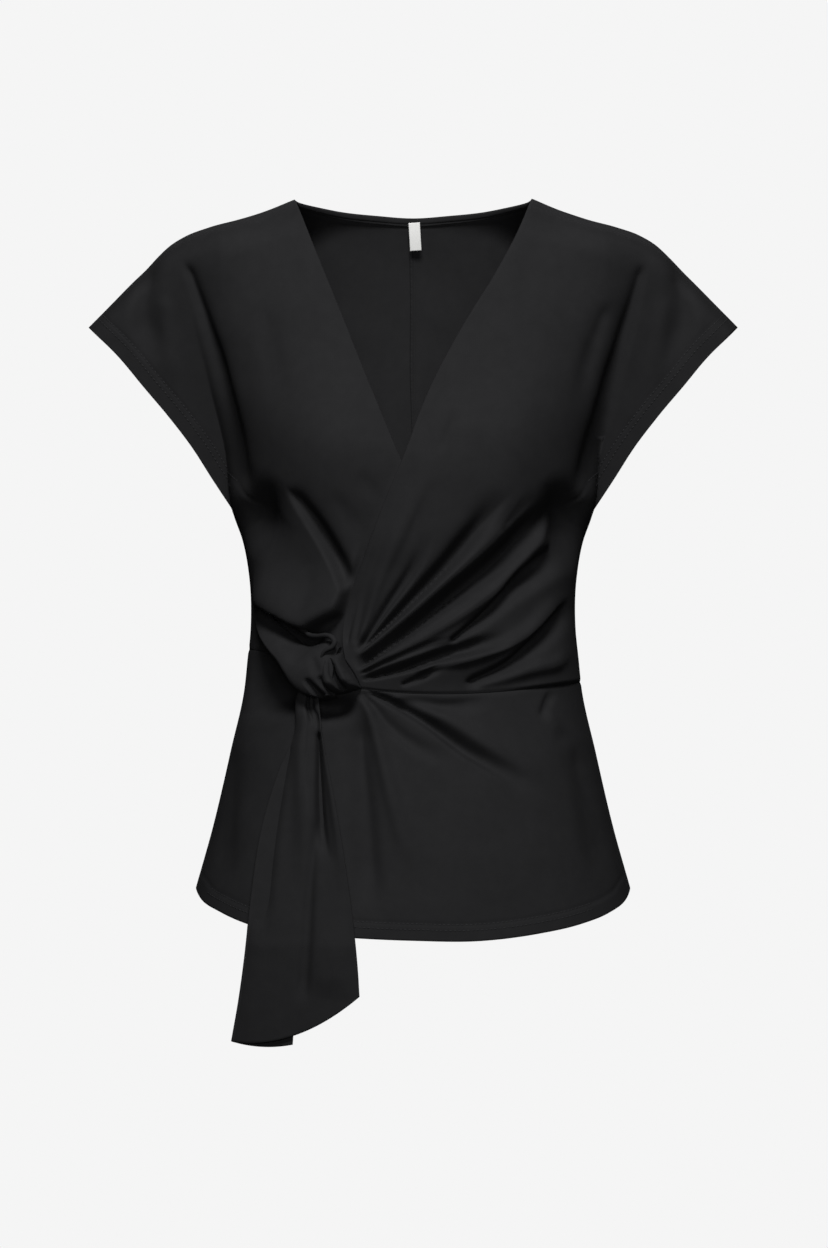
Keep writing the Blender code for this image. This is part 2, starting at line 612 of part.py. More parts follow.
def tie_tail():
    """The hanging end: a strip folded back under itself along its left edge."""
    rows = spread(TAIL, 19)
    down = np.linspace(0, 1, len(rows))
    under = np.linspace(TAIL_UNDER, 0.03, 5)
    over = np.linspace(0.03, 1, 14)
    share = np.concatenate([under, [0.0], over])
    layer = np.concatenate([np.full(5, -TAIL_GAP), [-TAIL_GAP / 2], np.zeros(14)])
    is_over = np.concatenate([np.zeros(6), np.ones(14)])
    path = np.zeros((len(rows), len(share), 3))
    for i, (left_x, left_z, right_x, right_z, out) in enumerate(rows):
        x = left_x + (right_x - left_x) * share
        sag = TAIL_SAG * 4 * share * (1 - share) * down[i] ** 4
        z = left_z + (right_z - left_z) * share - sag
        middle = (left_x + right_x) / 2
        level = np.maximum(z, TAIL_FREE_Z)
        here = depth(x, level, True)
        carried = np.maximum(here, (here + depth(np.full_like(x, middle), level, True)) / 2)
        ridges = tail_ridges(share, down[i]) * is_over
        path[i] = np.stack([x, -(carried + out + layer + ridges), z], axis=-1)
    run = np.gradient(path, axis=1)
    normal = np.stack([-run[..., 1], run[..., 0]], axis=-1)
    normal /= np.linalg.norm(normal, axis=-1, keepdims=True)
    offset = np.stack([normal[..., 0], normal[..., 1], 0 * normal[..., 0]], axis=-1)
    return wall("tie_tail", path - offset * WALL / 2, path + offset * WALL / 2)


def tail_ridges(share, down):
    """Lengthwise folds of the tail's front layer: a broad one, and a flange at its edge."""
    full = TAIL_RIDGE * ease(down / 0.15)
    broad = np.exp(-(((share - 0.5) / 0.2) ** 2))
    flange = np.exp(-(((share - 0.95) / 0.07) ** 2)) * ease((1.05 - down) / 0.6)
    return full * (broad + flange)


def neck_label():
    """A bare label that hangs from the middle of the neck binding, inside the back."""
    down = np.linspace(0, 1, 6)[:, None]
    x = LABEL_X + LABEL_WIDE * np.array([-0.5, 0.5])[None] + 0 * down
    z = LABEL_TOP - LABEL_HIGH * down + 0 * x
    start = depth(LABEL_X, LABEL_SEAM_Z, False)
    y = start - LABEL_THICK - LABEL_OFF + LABEL_SLANT * LABEL_HIGH * down + 0 * x
    near = np.stack([x, y, z], axis=-1)
    return wall("neck_label", near, near + np.array([0, LABEL_THICK, 0]), LABEL_CLOTH)


def clear_scene():
    for thing in list(bpy.data.objects):
        bpy.data.objects.remove(thing, do_unlink=True)


def main():
    clear_scene()
    front_left()
    front_right()
    peplum_front()
    back("left")
    back("right")
    back_neck_binding()
    tie_band()
    knot()
    tie_tail()
    neck_label()


main()
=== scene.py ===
# %% [markdown]
# # A twist-front top in black jersey
# The real top is cut from one soft knitted cloth: two fronts that cross over, a skirt part below
# the waist seam, two backs, and a tie that runs from the side into a knot and hangs down.
# Here each of those pieces is a thin shell of cloth on a smooth body form, with its folds raised
# or sunk along listed lines. The imported model is loaded first and is never moved.

# %% Load the fixed frame
import math
from collections import namedtuple

import bpy
import numpy as np
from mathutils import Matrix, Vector


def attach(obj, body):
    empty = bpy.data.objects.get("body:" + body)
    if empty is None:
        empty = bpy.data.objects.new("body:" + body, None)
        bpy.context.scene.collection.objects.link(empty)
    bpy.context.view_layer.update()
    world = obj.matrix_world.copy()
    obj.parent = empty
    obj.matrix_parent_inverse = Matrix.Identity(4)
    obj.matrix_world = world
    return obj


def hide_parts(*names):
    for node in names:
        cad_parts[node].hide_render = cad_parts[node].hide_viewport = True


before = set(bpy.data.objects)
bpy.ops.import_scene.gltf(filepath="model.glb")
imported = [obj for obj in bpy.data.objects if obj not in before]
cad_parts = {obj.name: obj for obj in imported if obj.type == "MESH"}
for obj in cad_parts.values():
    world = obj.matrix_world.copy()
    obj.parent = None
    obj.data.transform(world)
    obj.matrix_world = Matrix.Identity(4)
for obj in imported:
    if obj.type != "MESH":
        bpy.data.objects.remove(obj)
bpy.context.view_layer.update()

# %% [markdown]
# ## Smooth lines from short tables
# A pattern maker draws an edge through a few marked points with a curved ruler. The functions
# here do the same: they read a smooth line through a short table at any number of places, so
# the tables stay short and the meshes can be as fine as they need.
# All sizes are in millimetres until a mesh is made.

# %% Lines
MM = 0.001
Point = namedtuple("Point", "x z")


def columns(rows):
    """A table's rows as one array, with a column for each named value."""
    return np.array(rows, dtype=float)


def ease(x):
    """A soft step from 0 to 1."""
    x = np.clip(x, 0, 1)
    return x * x * (3 - 2 * x)


def read(xs, ys, x):
    """A smooth line through the points (xs, ys), read at x; ys may have columns."""
    ys = ys.reshape(len(xs), -1)
    gap = np.diff(xs)[:, None]
    slope = np.diff(ys, axis=0) / gap
    tangent = np.empty_like(ys)
    tangent[0], tangent[-1] = slope[0], slope[-1]
    tangent[1:-1] = (slope[:-1] * gap[1:] + slope[1:] * gap[:-1]) / (gap[:-1] + gap[1:])
    x = np.clip(np.asarray(x, float), xs[0], xs[-1])
    i = np.clip(np.searchsorted(xs, x) - 1, 0, len(xs) - 2)
    g = gap[i]
    t = ((x - xs[i]) / gap[i, 0])[..., None]
    a, b = 2 * t**3 - 3 * t**2 + 1, t**3 - 2 * t**2 + t
    c, d = -2 * t**3 + 3 * t**2, t**3 - t**2
    return a * ys[i] + b * g * tangent[i] + c * ys[i + 1] + d * g * tangent[i + 1]


hill = columns([(0, 0), (1, 2), (3, 1)])
print("a line through (0, 0), (1, 2) and (3, 1) has at 2:", read(hill[:, 0], hill[:, 1], 2.0).round(2))

# %% [markdown]
# ## Steps along a line
# A mesh needs an edge cut into many short steps. They can crowd together at both ends of the
# edge, so that the cloth is fine where it is gathered or turned and coarser where it is plain.

# %% Steps
def along(rows, shares):
    """Points at the given shares of the length of the smooth curve through a table."""
    points = columns(rows)[:, :2]
    length = np.concatenate([[0], np.cumsum(np.hypot(*np.diff(points, axis=0).T))])
    return read(length, points, np.asarray(shares) * length[-1])


def shares(count, crowd=0.0):
    """A count of steps from 0 to 1, closer together at both ends as crowd goes to 1."""
    t = np.linspace(0, 1, count + 1)
    return t - crowd * np.sin(2 * math.pi * t) / (2 * math.pi)


def joined(*lines):
    """Lines end to end, without their doubled points."""
    return np.vstack([lines[0]] + [line[1:] for line in lines[1:]])


def mirrored(rows):
    return [Point(-row.x, row.z) for row in rows]


print("five steps, crowded at the ends:", shares(5, 0.6).round(2))

# %% [markdown]
# ## The body form
# Worn cloth hangs on a body. The form is a stack of rounded sections for the torso, joined to a
# slightly flattened tube for each cap sleeve. A formula gives its depth at any height and width,
# and the way its surface faces, which is what a cloth simulation would need many steps to find.

# %% Body form
Section = namedtuple("Section", "z half front back roundness")
SECTIONS = [
    Section(40, 190, 64, 52, 2.9), Section(0, 188, 76, 62, 2.9),
    Section(-50, 182, 86, 76, 2.9), Section(-100, 173, 94, 84, 2.8),
    Section(-150, 161, 101, 88, 2.5), Section(-200, 149, 107, 86, 2.15),
    Section(-250, 142, 103, 80, 2.0), Section(-270, 135, 100, 76, 2.0),
    Section(-300, 129.5, 94, 69, 2.0), Section(-340, 128.5, 88, 63, 2.0),
    Section(-366, 131, 87, 64, 2.05), Section(-390, 133.5, 88, 68, 2.1),
    Section(-440, 144.5, 95, 80, 2.25), Section(-500, 158.5, 104, 94, 2.3),
    Section(-550, 172.5, 111, 104, 2.3), Section(-600, 186, 116, 110, 2.3),
]
SHOULDER = [Point(94, 0), Point(114, -8), Point(138, -16), Point(162, -22), Point(180, -28),
            Point(192, -35), Point(204, -46), Point(216, -58), Point(234, -76), Point(259, -101)]
NECK_HALF, NECK_RISE = 94.0, 20.0
ARCH = 36.0               # height over which the shoulder rounds over into the chest
SLEEVE_FRONT, SLEEVE_TIP = 80.0, 36.0      # how full the sleeve's front is: armhole and tip
SLEEVE_TOP = 0.03         # share of the sleeve's height in which its top rounds over
ARMHOLE, SLEEVE_LONG = 150.0, 109.0        # from the middle to the armhole, and on to the tip
SLEEVE_FROM, SLEEVE_FADE = 50.0, 95.0      # where its fullness begins, and how softly
SLEEVE_BACK, SLEEVE_ROUND = 46.0, 0.42
BLEND = 6                 # power that rounds the torso into the sleeve
UNDERARM_X, UNDERARM_Z, UNDERARM_SLOPE = 142.0, -250.0, 0.785
BUST_OUT, BUST_X, BUST_Z = 14.0, 80.0, -205.0
BUST_WIDE, BUST_HIGH = 55.0, 60.0

FORM = columns(SECTIONS)[::-1]
RIDGE = columns(SHOULDER)


def ridge_height(x):
    """Height of the form's top line: the shoulder and overarm, and a low rise at the neck."""
    x = np.abs(x)
    neck = NECK_RISE * (1 - (np.minimum(x, NECK_HALF) / NECK_HALF) ** 2)
    arm = read(RIDGE[:, 0], RIDGE[:, 1], x)[..., 0]
    return np.where(x < NECK_HALF, neck, arm)


def sleeve_front(x, down):
    """The front of the cap sleeve: full below the overarm, then drawn in to the underarm."""
    to_tip = np.clip((np.abs(x) - ARMHOLE) / SLEEVE_LONG, 0, 1)
    out = SLEEVE_FRONT + (SLEEVE_TIP - SLEEVE_FRONT) * to_tip
    out = out * ease((np.abs(x) - SLEEVE_FROM) / SLEEVE_FADE)
    return out * (1 - np.exp(-down / SLEEVE_TOP)) * (1 - down)


def depth(x, z, front):
    """How far the form stands out from the plane y = 0 at (x, z), to the front or back."""
    half, ahead, behind, power = np.moveaxis(read(FORM[:, 0], FORM[:, 1:], z), -1, 0)
    below = np.maximum(ridge_height(x) - z, 0)
    arch = np.sqrt(1 - (1 - np.minimum(below / ARCH, 1)) ** 2)
    out = behind
    if front:
        bust = ((np.abs(x) - BUST_X) / BUST_WIDE) ** 2 + ((z - BUST_Z) / BUST_HIGH) ** 2
        out = ahead + BUST_OUT * np.exp(-bust)
    share = np.minimum(np.abs(x) / half, 1)
    torso = out * (1 - share**power) ** (1 / power) * arch
    under = UNDERARM_Z - UNDERARM_SLOPE * (np.abs(x) - UNDERARM_X)
    down = np.clip(below / np.maximum(ridge_height(x) - under, 1), 0, 1)
    sleeve = SLEEVE_BACK * (4 * down * (1 - down)) ** SLEEVE_ROUND
    if front:
        sleeve = sleeve_front(x, down)
    return (torso**BLEND + sleeve**BLEND) ** (1 / BLEND)


CHEST_Z = -200.0
depths = [float(depth(0.0, CHEST_Z, front)) for front in (True, False)]
print("chest, mm to the front and to the back:", [round(value) for value in depths])

# %% [markdown]
# ## Places on the form
# A pattern piece is drawn flat, as it is seen from the front. These functions carry flat points
# onto the form and tell which way the surface faces there, so that folds can be raised on it.

# %% Places on the form
SEAM = -0.3               # two pieces overlap by this much at a seam, so no light shows through


def form(flat, front):
    """The form's points and outward normals at flat points (x, z)."""
    x, z = flat[..., 0], flat[..., 1]
    out = depth(x, z, front)
    across = (depth(x + 1, z, front) ** 2 - depth(x - 1, z, front) ** 2) / 4
    upward = (depth(x, z + 1, front) ** 2 - depth(x, z - 1, front) ** 2) / 4
    normal = np.stack([-across, out, -upward], axis=-1)
    normal /= np.linalg.norm(normal, axis=-1, keepdims=True)
    points = np.stack([x, np.maximum(out, SEAM / 2), z], axis=-1)
    if front:
        points[..., 1] *= -1
        normal[..., 1] *= -1
    return points, normal


def side_line(low, high, count):
    """The side seam between two heights, where the form is widest."""
    z = low + (high - low) * shares(count)
    return np.stack([read(FORM[:, 0], FORM[:, 1], z)[:, 0], z], axis=-1)


chest_point, chest_normal = form(np.array([0.0, CHEST_Z]), True)
print("middle of the chest, mm:", chest_point.round(1), "faces", chest_normal.round(2))

# %% [markdown]
# ## The pattern's edges
# These are the lines where the maker cuts and sews: the two wrap edges that cross at the V, the
# waist seam, the cuffs, the hem and the back neck. They are drawn as seen from the front.

# %% Pattern edges
CUFF = [Point(259, -101), Point(233, -126), Point(213, -150), Point(193, -174),
        Point(175, -198), Point(160, -222), Point(142, -250)]
WRAP = [Point(94, 0), Point(84, -26), Point(65, -63), Point(39, -106), Point(16, -149),
        Point(-9, -211), Point(-25, -250), Point(-37, -284), Point(-48, -319),
        Point(-52, -347), Point(-49.5, -366)]
UNDER_WRAP = [Point(-94, 0), Point(-78, -41), Point(-57, -93), Point(-36, -146),
              Point(-9, -211), Point(15, -266), Point(38, -325), Point(60, -391)]
WAIST = [Point(-130.2, -358), Point(-110, -361), Point(-85, -372), Point(-53, -386),
         Point(-26, -390), Point(13, -392), Point(60, -391), Point(100, -387.5),
         Point(133.3, -384)]
HEM = [Point(-172, -548), Point(-166, -555), Point(-150, -563), Point(-120, -573),
       Point(-70, -578), Point(0, -581.5), Point(50, -582), Point(98, -577),
       Point(130, -571), Point(152, -564), Point(166, -556), Point(172, -548)]
BACK_HEM = [Point(0, -567), Point(60, -565.5), Point(120, -560), Point(160, -552),
            Point(172, -548)]
BACK_NECK = [Point(-94, 0), Point(-79, -1.2), Point(-55, -3.8), Point(-30, -5.4),
             Point(0, -7), Point(30, -5.4), Point(55, -3.8), Point(79, -1.2), Point(94, 0)]
KNOT_FACE = [Point(-38.5, -388.6), Point(-42, -379), Point(-49.5, -366)]
for name, rows in (("over-wrap", WRAP), ("waist", WAIST), ("front hem", HEM), ("cuff", CUFF)):
    print(name, "edge, mm:", round(np.hypot(*np.diff(along(rows, shares(60)), axis=0).T).sum()))

# %% [markdown]
# ## How far from an edge
# Stitches and folds depend on how far the cloth is from an edge. Blender could find this with a
# Geometry Proximity node. Here it is worked out in the flat pattern, so it is ready before any
# mesh is made.

# %% Distance from an edge
def nearest(flat, line):
    """Distance from flat points to a line of points, its share there, and the side."""
    best = np.full(flat.shape[:-1], np.inf)
    share = np.zeros_like(best)
    side = np.zeros_like(best)
    count = len(line) - 1
    for i, (a, b) in enumerate(zip(line[:-1], line[1:])):
        ab, ap = b - a, flat - a
        t = np.clip((ap @ ab) / (ab @ ab), 0, 1)
        gap = np.hypot(ap[..., 0] - t * ab[0], ap[..., 1] - t * ab[1])
        closer = gap < best
        best = np.where(closer, gap, best)
        share = np.where(closer, (i + t) / count, share)
        side = np.where(closer, np.sign(ap[..., 0] * ab[1] - ap[..., 1] * ab[0]), side)
    return best, share, side


WRAP_LINE = along(WRAP, shares(60))
WAIST_LINE = along(WAIST, shares(60))
HEM_LINE = along(HEM, shares(60))
CUFF_LINE = along(CUFF, shares(40))
BACK_HEM_LINE = along(BACK_HEM, shares(40))
waist_to_hem = nearest(np.array([[0.0, WAIST[4].z]]), HEM_LINE)[0]
print("from the waist seam to the hem, mm:", waist_to_hem.round(1))

# %% [markdown]
# ## Creases
# Jersey that is pulled into a knot makes sharp pleats at the knot, which open out and die away
# over the chest. A crease is a smooth line from the knot outwards, which travels to the right.
# It has a width to the left of the way it runs and one to the right, each at its start and at
# its end, so that one flank can be steep and the other gentle, as in real folds, and a height
# that changes on the way. Near its start a trough is a sharp V, and further out it is round.

# %% Creases
Crease = namedtuple("Crease", "path left0 left1 right0 right1 rise0 rise1 fade")
CREASE_STEPS = 24
SHARP, ROUND = 1.4, 2.0   # powers in the profile's fall-off: a V, and a bell
BOTTOM0, BOTTOM1 = 0.3, 1.6      # how rounded the bottom of a crease is, at its start and end
RISE_WIDTHS, RISE_LEAST = 2.5, 0.06    # it rises over so many widths, or this share of its way
GROWS_BY, ROUNDS_BY = 0.5, 0.6   # shares of its way by which it has its full height and is round


def crease_height(flat, creases):
    """The sum of all creases at flat points: troughs are below zero, ridges above."""
    total = np.zeros(flat.shape[:-1])
    for crease in creases:
        line = along(crease.path, shares(CREASE_STEPS))
        length = np.hypot(*np.diff(line, axis=0).T).sum()
        gap, share, side = nearest(flat, line)
        left = crease.left0 + (crease.left1 - crease.left0) * share
        right = crease.right0 + (crease.right1 - crease.right0) * share
        bottom = BOTTOM0 + (BOTTOM1 - BOTTOM0) * share
        to_right = 0.5 + 0.5 * np.tanh(side * gap / bottom)
        width = left + (right - left) * to_right
        away = np.sqrt(gap**2 + bottom**2) - bottom
        rise = crease.rise0 + (crease.rise1 - crease.rise0) * ease(share / GROWS_BY)
        start = SHARP if crease.rise0 < 0 else ROUND
        power = start + (ROUND - start) * ease(share / ROUNDS_BY)
        rise_in = max(RISE_LEAST, RISE_WIDTHS * max(crease.left0, crease.right0) / length)
        taper = ease(share / rise_in) * ease((1 - share) / crease.fade)
        total += rise * taper * np.exp(-((away / width) ** power))
    return total


trial = Crease([(0, 0), (40, 0), (80, 0)], 3.0, 3.0, 3.0, 3.0, -5.0, -5.0, 0.3)
across_it = np.array([[40.0, 0.0], [40.0, 3.0], [40.0, 9.0]])
print("a 5 mm trough, 0, 3 and 9 mm from its line:", crease_height(across_it, [trial]).round(2))

# %% [markdown]
# ## Unevenness
# No stretch of worn cloth is perfectly smooth. A few waves of unrelated lengths, multiplied, give
# a low swell that never seems to repeat. A noise texture with a Displace modifier would do too,
# but a formula can also be read where the stitches are placed.

# %% Unevenness
SWELL, SKIRT_SWELL = 0.45, 0.4       # how high it is on bodice and backs, and on the skirt
SWELL_SIZE = {"over": 19, "under": 21, "back": 22, "skirt": 24}


def uneven(flat, size):
    """A low, slow swell; size sets how long its waves are."""
    x, z = flat[..., 0] / size, flat[..., 1] / size
    swell = np.sin(x + 1.7 * np.sin(0.7 * z + 0.4)) * np.sin(1.3 * z + 0.9 * np.sin(1.1 * x))
    return swell + 0.5 * np.sin(2.3 * x + 1.1 * z + 0.6) * np.sin(0.8 * x - 1.9 * z)


print("swell at the middle of the chest:", uneven(np.array([0.0, CHEST_Z]), 20.0).round(2))

# %% [markdown]
# ## The rim of a shell
# Cloth has two faces and a rounded edge where it is turned in. Blender's Solidify modifier would
# give a flat-cut rim. Here both faces are drawn in a little at the rim, with one more row of
# points between them, which makes the edge round.

# %% Rim
def ring(rows, cols):
    """Row and column numbers once round the rim of a grid."""
    up = [(i, 0) for i in range(rows)]
    right = [(rows - 1, j) for j in range(1, cols)]
    down = [(i, cols - 1) for i in range(rows - 2, -1, -1)]
    left = [(0, j) for j in range(cols - 2, 0, -1)]
    return np.array(up + right + down + left)


def rounded_rim(near, far, rim):
    """Draws both faces in a little at the rim, and returns the points between them."""
    rows, cols = near.shape[:2]
    i, j = rim.T
    inner = (np.clip(i, 1, rows - 2), np.clip(j, 1, cols - 2))
    wall = np.linalg.norm(far[i, j] - near[i, j], axis=-1, keepdims=True)
    inwards = near[inner] - near[i, j]
    space = np.linalg.norm(inwards, axis=-1, keepdims=True)
    middle = (near[i, j] + far[i, j]) / 2
    draw = inwards * np.minimum(0.45 * wall / np.maximum(space, 1e-6), 0.5)
    near[i, j] += draw
    far[i, j] += draw
    return middle


print("points round the rim of a 4 by 5 grid:", len(ring(4, 5)))

# %% [markdown]
# ## A thin shell of cloth
# A piece of cloth is a closed body between two grids of points, one for each face. Its mesh is
# filled in one go with foreach_set, which is much faster than adding faces one by one. A UV map
# named `grain` holds real lengths along the cloth, so that the knit keeps its size everywhere.

# %% Shell
def put(name, mesh, material):
    """Gives a mesh its material and puts it in the scene."""
    mesh.shade_smooth()
    mesh.materials.append(material)
    piece = bpy.data.objects.new(name, mesh)
    bpy.context.scene.collection.objects.link(piece)
    return piece


def shell(name, near, far, grain, cloth):
    """A closed thin body between two grids of points, in millimetres, with a round rim."""
    near, far = near.copy(), far.copy()
    rows, cols = near.shape[:2]
    rim = ring(rows, cols)
    middle = rounded_rim(near, far, rim)
    count = rows * cols
    vertex = np.arange(count).reshape(rows, cols)
    a, b, c, d = vertex[:-1, :-1], vertex[1:, :-1], vertex[1:, 1:], vertex[:-1, 1:]
    near_faces = np.stack([a, d, c, b], axis=-1).reshape(-1, 4)
    far_faces = np.stack([a, b, c, d], axis=-1).reshape(-1, 4) + count
    here = vertex[rim[:, 0], rim[:, 1]]
    following = np.roll(here, -1)
    edge = 2 * count + np.arange(len(rim))
    edge_next = np.roll(edge, -1)
    outer_faces = np.stack([following + count, here + count, edge, edge_next], axis=-1)
    inner_faces = np.stack([edge_next, edge, here, following], axis=-1)
    faces = np.vstack([near_faces, far_faces, outer_faces, inner_faces])
    points = np.vstack([near.reshape(-1, 3), far.reshape(-1, 3), middle]) * MM
    corners = points[faces]
    signed = np.einsum("ij,ij->i", corners[:, 0],
                       np.cross(corners[:, 2] - corners[:, 1], corners[:, 3] - corners[:, 1]))
    if signed.sum() < 0:
        faces = faces[:, ::-1]
    mesh = bpy.data.meshes.new(name)
    mesh.vertices.add(len(points))
    mesh.vertices.foreach_set("co", points.astype(np.float32).ravel())
    mesh.loops.add(faces.size)
    mesh.loops.foreach_set("vertex_index", faces.astype(np.int32).ravel())
    mesh.polygons.add(len(faces))
    mesh.polygons.foreach_set("loop_start", np.arange(0, faces.size, 4, dtype=np.int32))
    flat = np.vstack([grain.reshape(-1, 2), grain.reshape(-1, 2), grain[rim[:, 0], rim[:, 1]]])
    layer = mesh.uv_layers.new(name="grain")
    layer.data.foreach_set("uv", (flat[faces.ravel()] * MM).astype(np.float32).ravel())
    mesh.update(calc_edges=True)
    mesh.validate()
    print(name, "triangles:", 2 * len(faces))
    return put(name, mesh, cloth)


print("shells are built in mm and scaled by", MM)

# %% [markdown]
# ## Colours and nodes
# Colours are picked as sRGB hex values, as a designer would read them, and turned to the linear
# values that the renderer needs. One helper adds a node with its settings and its links.

# %% Colour and node helpers
def linear(hex_colour):
    """An sRGB hex value such as 242425 as linear red, green, blue and alpha."""
    parts = [int(hex_colour[i:i + 2], 16) / 255 for i in (0, 2, 4)]
    return [c / 12.92 if c <= 0.04045 else ((c + 0.055) / 1.055) ** 2.4 for c in parts] + [1.0]


def add(tree, kind, settings=None, inputs=None):
    """Adds a node; an input's value is a number, a colour or another node's output socket."""
    node = tree.nodes.new(kind)
    for key, value in (settings or {}).items():
        setattr(node, key, value)
    for key, value in (inputs or {}).items():
        if isinstance(value, bpy.types.NodeSocket):
            tree.links.new(value, node.inputs[key])
        else:
            node.inputs[key].default_value = value
    return node


print("the mid grey 808080 is linear", round(linear("808080")[0], 3))

# %% [markdown]
# ## Black viscose jersey
# The cloth is a fine single jersey, knitted from viscose with a little elastane and piece-dyed
# black. Up close it is made of upright rows of small V stitches. From a step away the eye sees a
# soft matt black: a dark base, a broad weak gloss with no sharp highlight, and a slight
# lightening at grazing angles from loose fibre ends, which the sheen gives.
# The real wales are about 0.8 mm apart. They are drawn at 1.6 mm, because finer ones would not
# show in the picture at all.

# %% Jersey material
WALE = 1.6 * MM            # drawn width of one upright row of stitches
COURSE = 1.3 * MM          # drawn height of one stitch


def jersey(name, dark, light, bump):
    """Knitted cloth: a V stitch in the bump, and a faint mottling in the colour."""
    material = bpy.data.materials.new(name)
    material.use_nodes = True
    tree = material.node_tree
    shader = tree.nodes["Principled BSDF"]
    shader.inputs["Metallic"].default_value = 0.0
    shader.inputs["Roughness"].default_value = 0.8
    shader.inputs["IOR"].default_value = 1.46
    shader.inputs["Specular IOR Level"].default_value = 0.08
    shader.inputs["Sheen Weight"].default_value = 0.01
    shader.inputs["Sheen Roughness"].default_value = 0.45
    shader.inputs["Sheen Tint"].default_value = linear("B9B9BD")
    grain = add(tree, "ShaderNodeUVMap", {"uv_map": "grain"})
    split = add(tree, "ShaderNodeSeparateXYZ", inputs={"Vector": grain.outputs["UV"]})
    wales = add(tree, "ShaderNodeMath", {"operation": "MULTIPLY"},
                {0: split.outputs["X"], 1: 1 / WALE})
    across = add(tree, "ShaderNodeMath", {"operation": "PINGPONG"}, {0: wales.outputs[0], 1: 0.5})
    slant = add(tree, "ShaderNodeMath", {"operation": "MULTIPLY"}, {0: across.outputs[0], 1: 1.1})
    courses = add(tree, "ShaderNodeMath", {"operation": "MULTIPLY_ADD"},
                  {0: split.outputs["Y"], 1: 1 / COURSE, 2: slant.outputs[0]})
    stitch = add(tree, "ShaderNodeMath", {"operation": "PINGPONG"}, {0: courses.outputs[0], 1: 0.5})
    furrow = add(tree, "ShaderNodeMath", {"operation": "MULTIPLY"},
                 {0: across.outputs[0], 1: stitch.outputs[0]})
    raised = add(tree, "ShaderNodeBump", inputs={
        "Strength": bump, "Distance": 0.6 * MM, "Height": furrow.outputs[0]})
    place = add(tree, "ShaderNodeTexCoord")
    mottle = add(tree, "ShaderNodeTexNoise", inputs={
        "Vector": place.outputs["Object"], "Scale": 90.0, "Detail": 5.0, "Roughness": 0.65})
    shade = add(tree, "ShaderNodeMix", {"data_type": "RGBA"}, {
        "Factor": mottle.outputs["Fac"], "A": linear(dark), "B": linear(light)})
    tree.links.new(shade.outputs["Result"], shader.inputs["Base Color"])
    tree.links.new(raised.outputs["Normal"], shader.inputs["Normal"])
    return material


black_jersey = jersey("black_viscose_jersey", "1F1F20", "262627", 0.18)
print("jersey wale, mm:", round(WALE / MM, 2))

# %% [markdown]
# ## Polyester sewing thread
# Hems and cuffs of jersey are sewn with a twin needle, so that the seam can stretch. The thread
# is spun polyester, a little glossier and greyer than the cloth, and the eye sees a dotted line.

# %% Thread material
THREAD_DARK, THREAD_LIGHT = "1F1F20", "2C2C2E"


def thread_material():
    material = bpy.data.materials.new("black_polyester_thread")
    material.use_nodes = True
    tree = material.node_tree
    shader = tree.nodes["Principled BSDF"]
    shader.inputs["Metallic"].default_value = 0.0
    shader.inputs["Roughness"].default_value = 0.6
    shader.inputs["IOR"].default_value = 1.5
    shader.inputs["Specular IOR Level"].default_value = 0.25
    place = add(tree, "ShaderNodeTexCoord")
    twist = add(tree, "ShaderNodeTexNoise", inputs={
        "Vector": place.outputs["Object"], "Scale": 1400.0, "Detail": 2.0})
    shade = add(tree, "ShaderNodeMix", {"data_type": "RGBA"}, {
        "Factor": twist.outputs["Fac"], "A": linear(THREAD_DARK), "B": linear(THREAD_LIGHT)})
    tree.links.new(shade.outputs["Result"], shader.inputs["Base Color"])
    return material


black_thread = thread_material()
print("lightest grey of the thread, linear:", round(linear(THREAD_LIGHT)[0], 4))

# %% [markdown]
# ## Woven label cloth
# The neck label is a small loop of white damask tape, woven from bright polyester: tight, smooth
# and slightly shiny. It is left bare. Its weave is 0.2 mm fine, and is drawn at 0.5 mm.

# %% Label material
LABEL_WEAVE = 0.5 * MM     # drawn width of one thread


def label_material():
    material = bpy.data.materials.new("white_damask_tape")
    material.use_nodes = True
    tree = material.node_tree
    shader = tree.nodes["Principled BSDF"]
    shader.inputs["Metallic"].default_value = 0.0
    shader.inputs["Roughness"].default_value = 0.55
    shader.inputs["IOR"].default_value = 1.5
    grain = add(tree, "ShaderNodeUVMap", {"uv_map": "grain"})
    split = add(tree, "ShaderNodeSeparateXYZ", inputs={"Vector": grain.outputs["UV"]})
    ways = []
    for axis in ("X", "Y"):
        scaled = add(tree, "ShaderNodeMath", {"operation": "MULTIPLY"},
                     {0: split.outputs[axis], 1: 1 / LABEL_WEAVE})
        ways.append(add(tree, "ShaderNodeMath", {"operation": "PINGPONG"},
                        {0: scaled.outputs[0], 1: 0.5}))
    weave = add(tree, "ShaderNodeMath", {"operation": "ADD"},
                {0: ways[0].outputs[0], 1: ways[1].outputs[0]})
    raised = add(tree, "ShaderNodeBump", inputs={
        "Strength": 0.3, "Distance": 0.1 * MM, "Height": weave.outputs[0]})
    # The colour follows the weave's height: the hollows between threads are painted darker than the
    # thread tops, which is painted shade.
    shade = add(tree, "ShaderNodeMix", {"data_type": "RGBA"}, {
        "Factor": weave.outputs[0], "A": linear("DADAD8"), "B": linear("F2F2F0")})
    tree.links.new(shade.outputs["Result"], shader.inputs["Base Color"])
    tree.links.new(raised.outputs["Normal"], shader.inputs["Normal"])
    return material


white_tape = label_material()
print("label weave, mm:", round(LABEL_WEAVE / MM, 2))

# %% [markdown]
# ## What all the panels share
# Every panel is the form's surface moved outwards by its own folds. Near a seam the stitches pull
# the cloth in, so the height dips there. Hems are double, so they are a little thicker. The knot
# lifts the cloth round it, and the tie draws it in below itself.

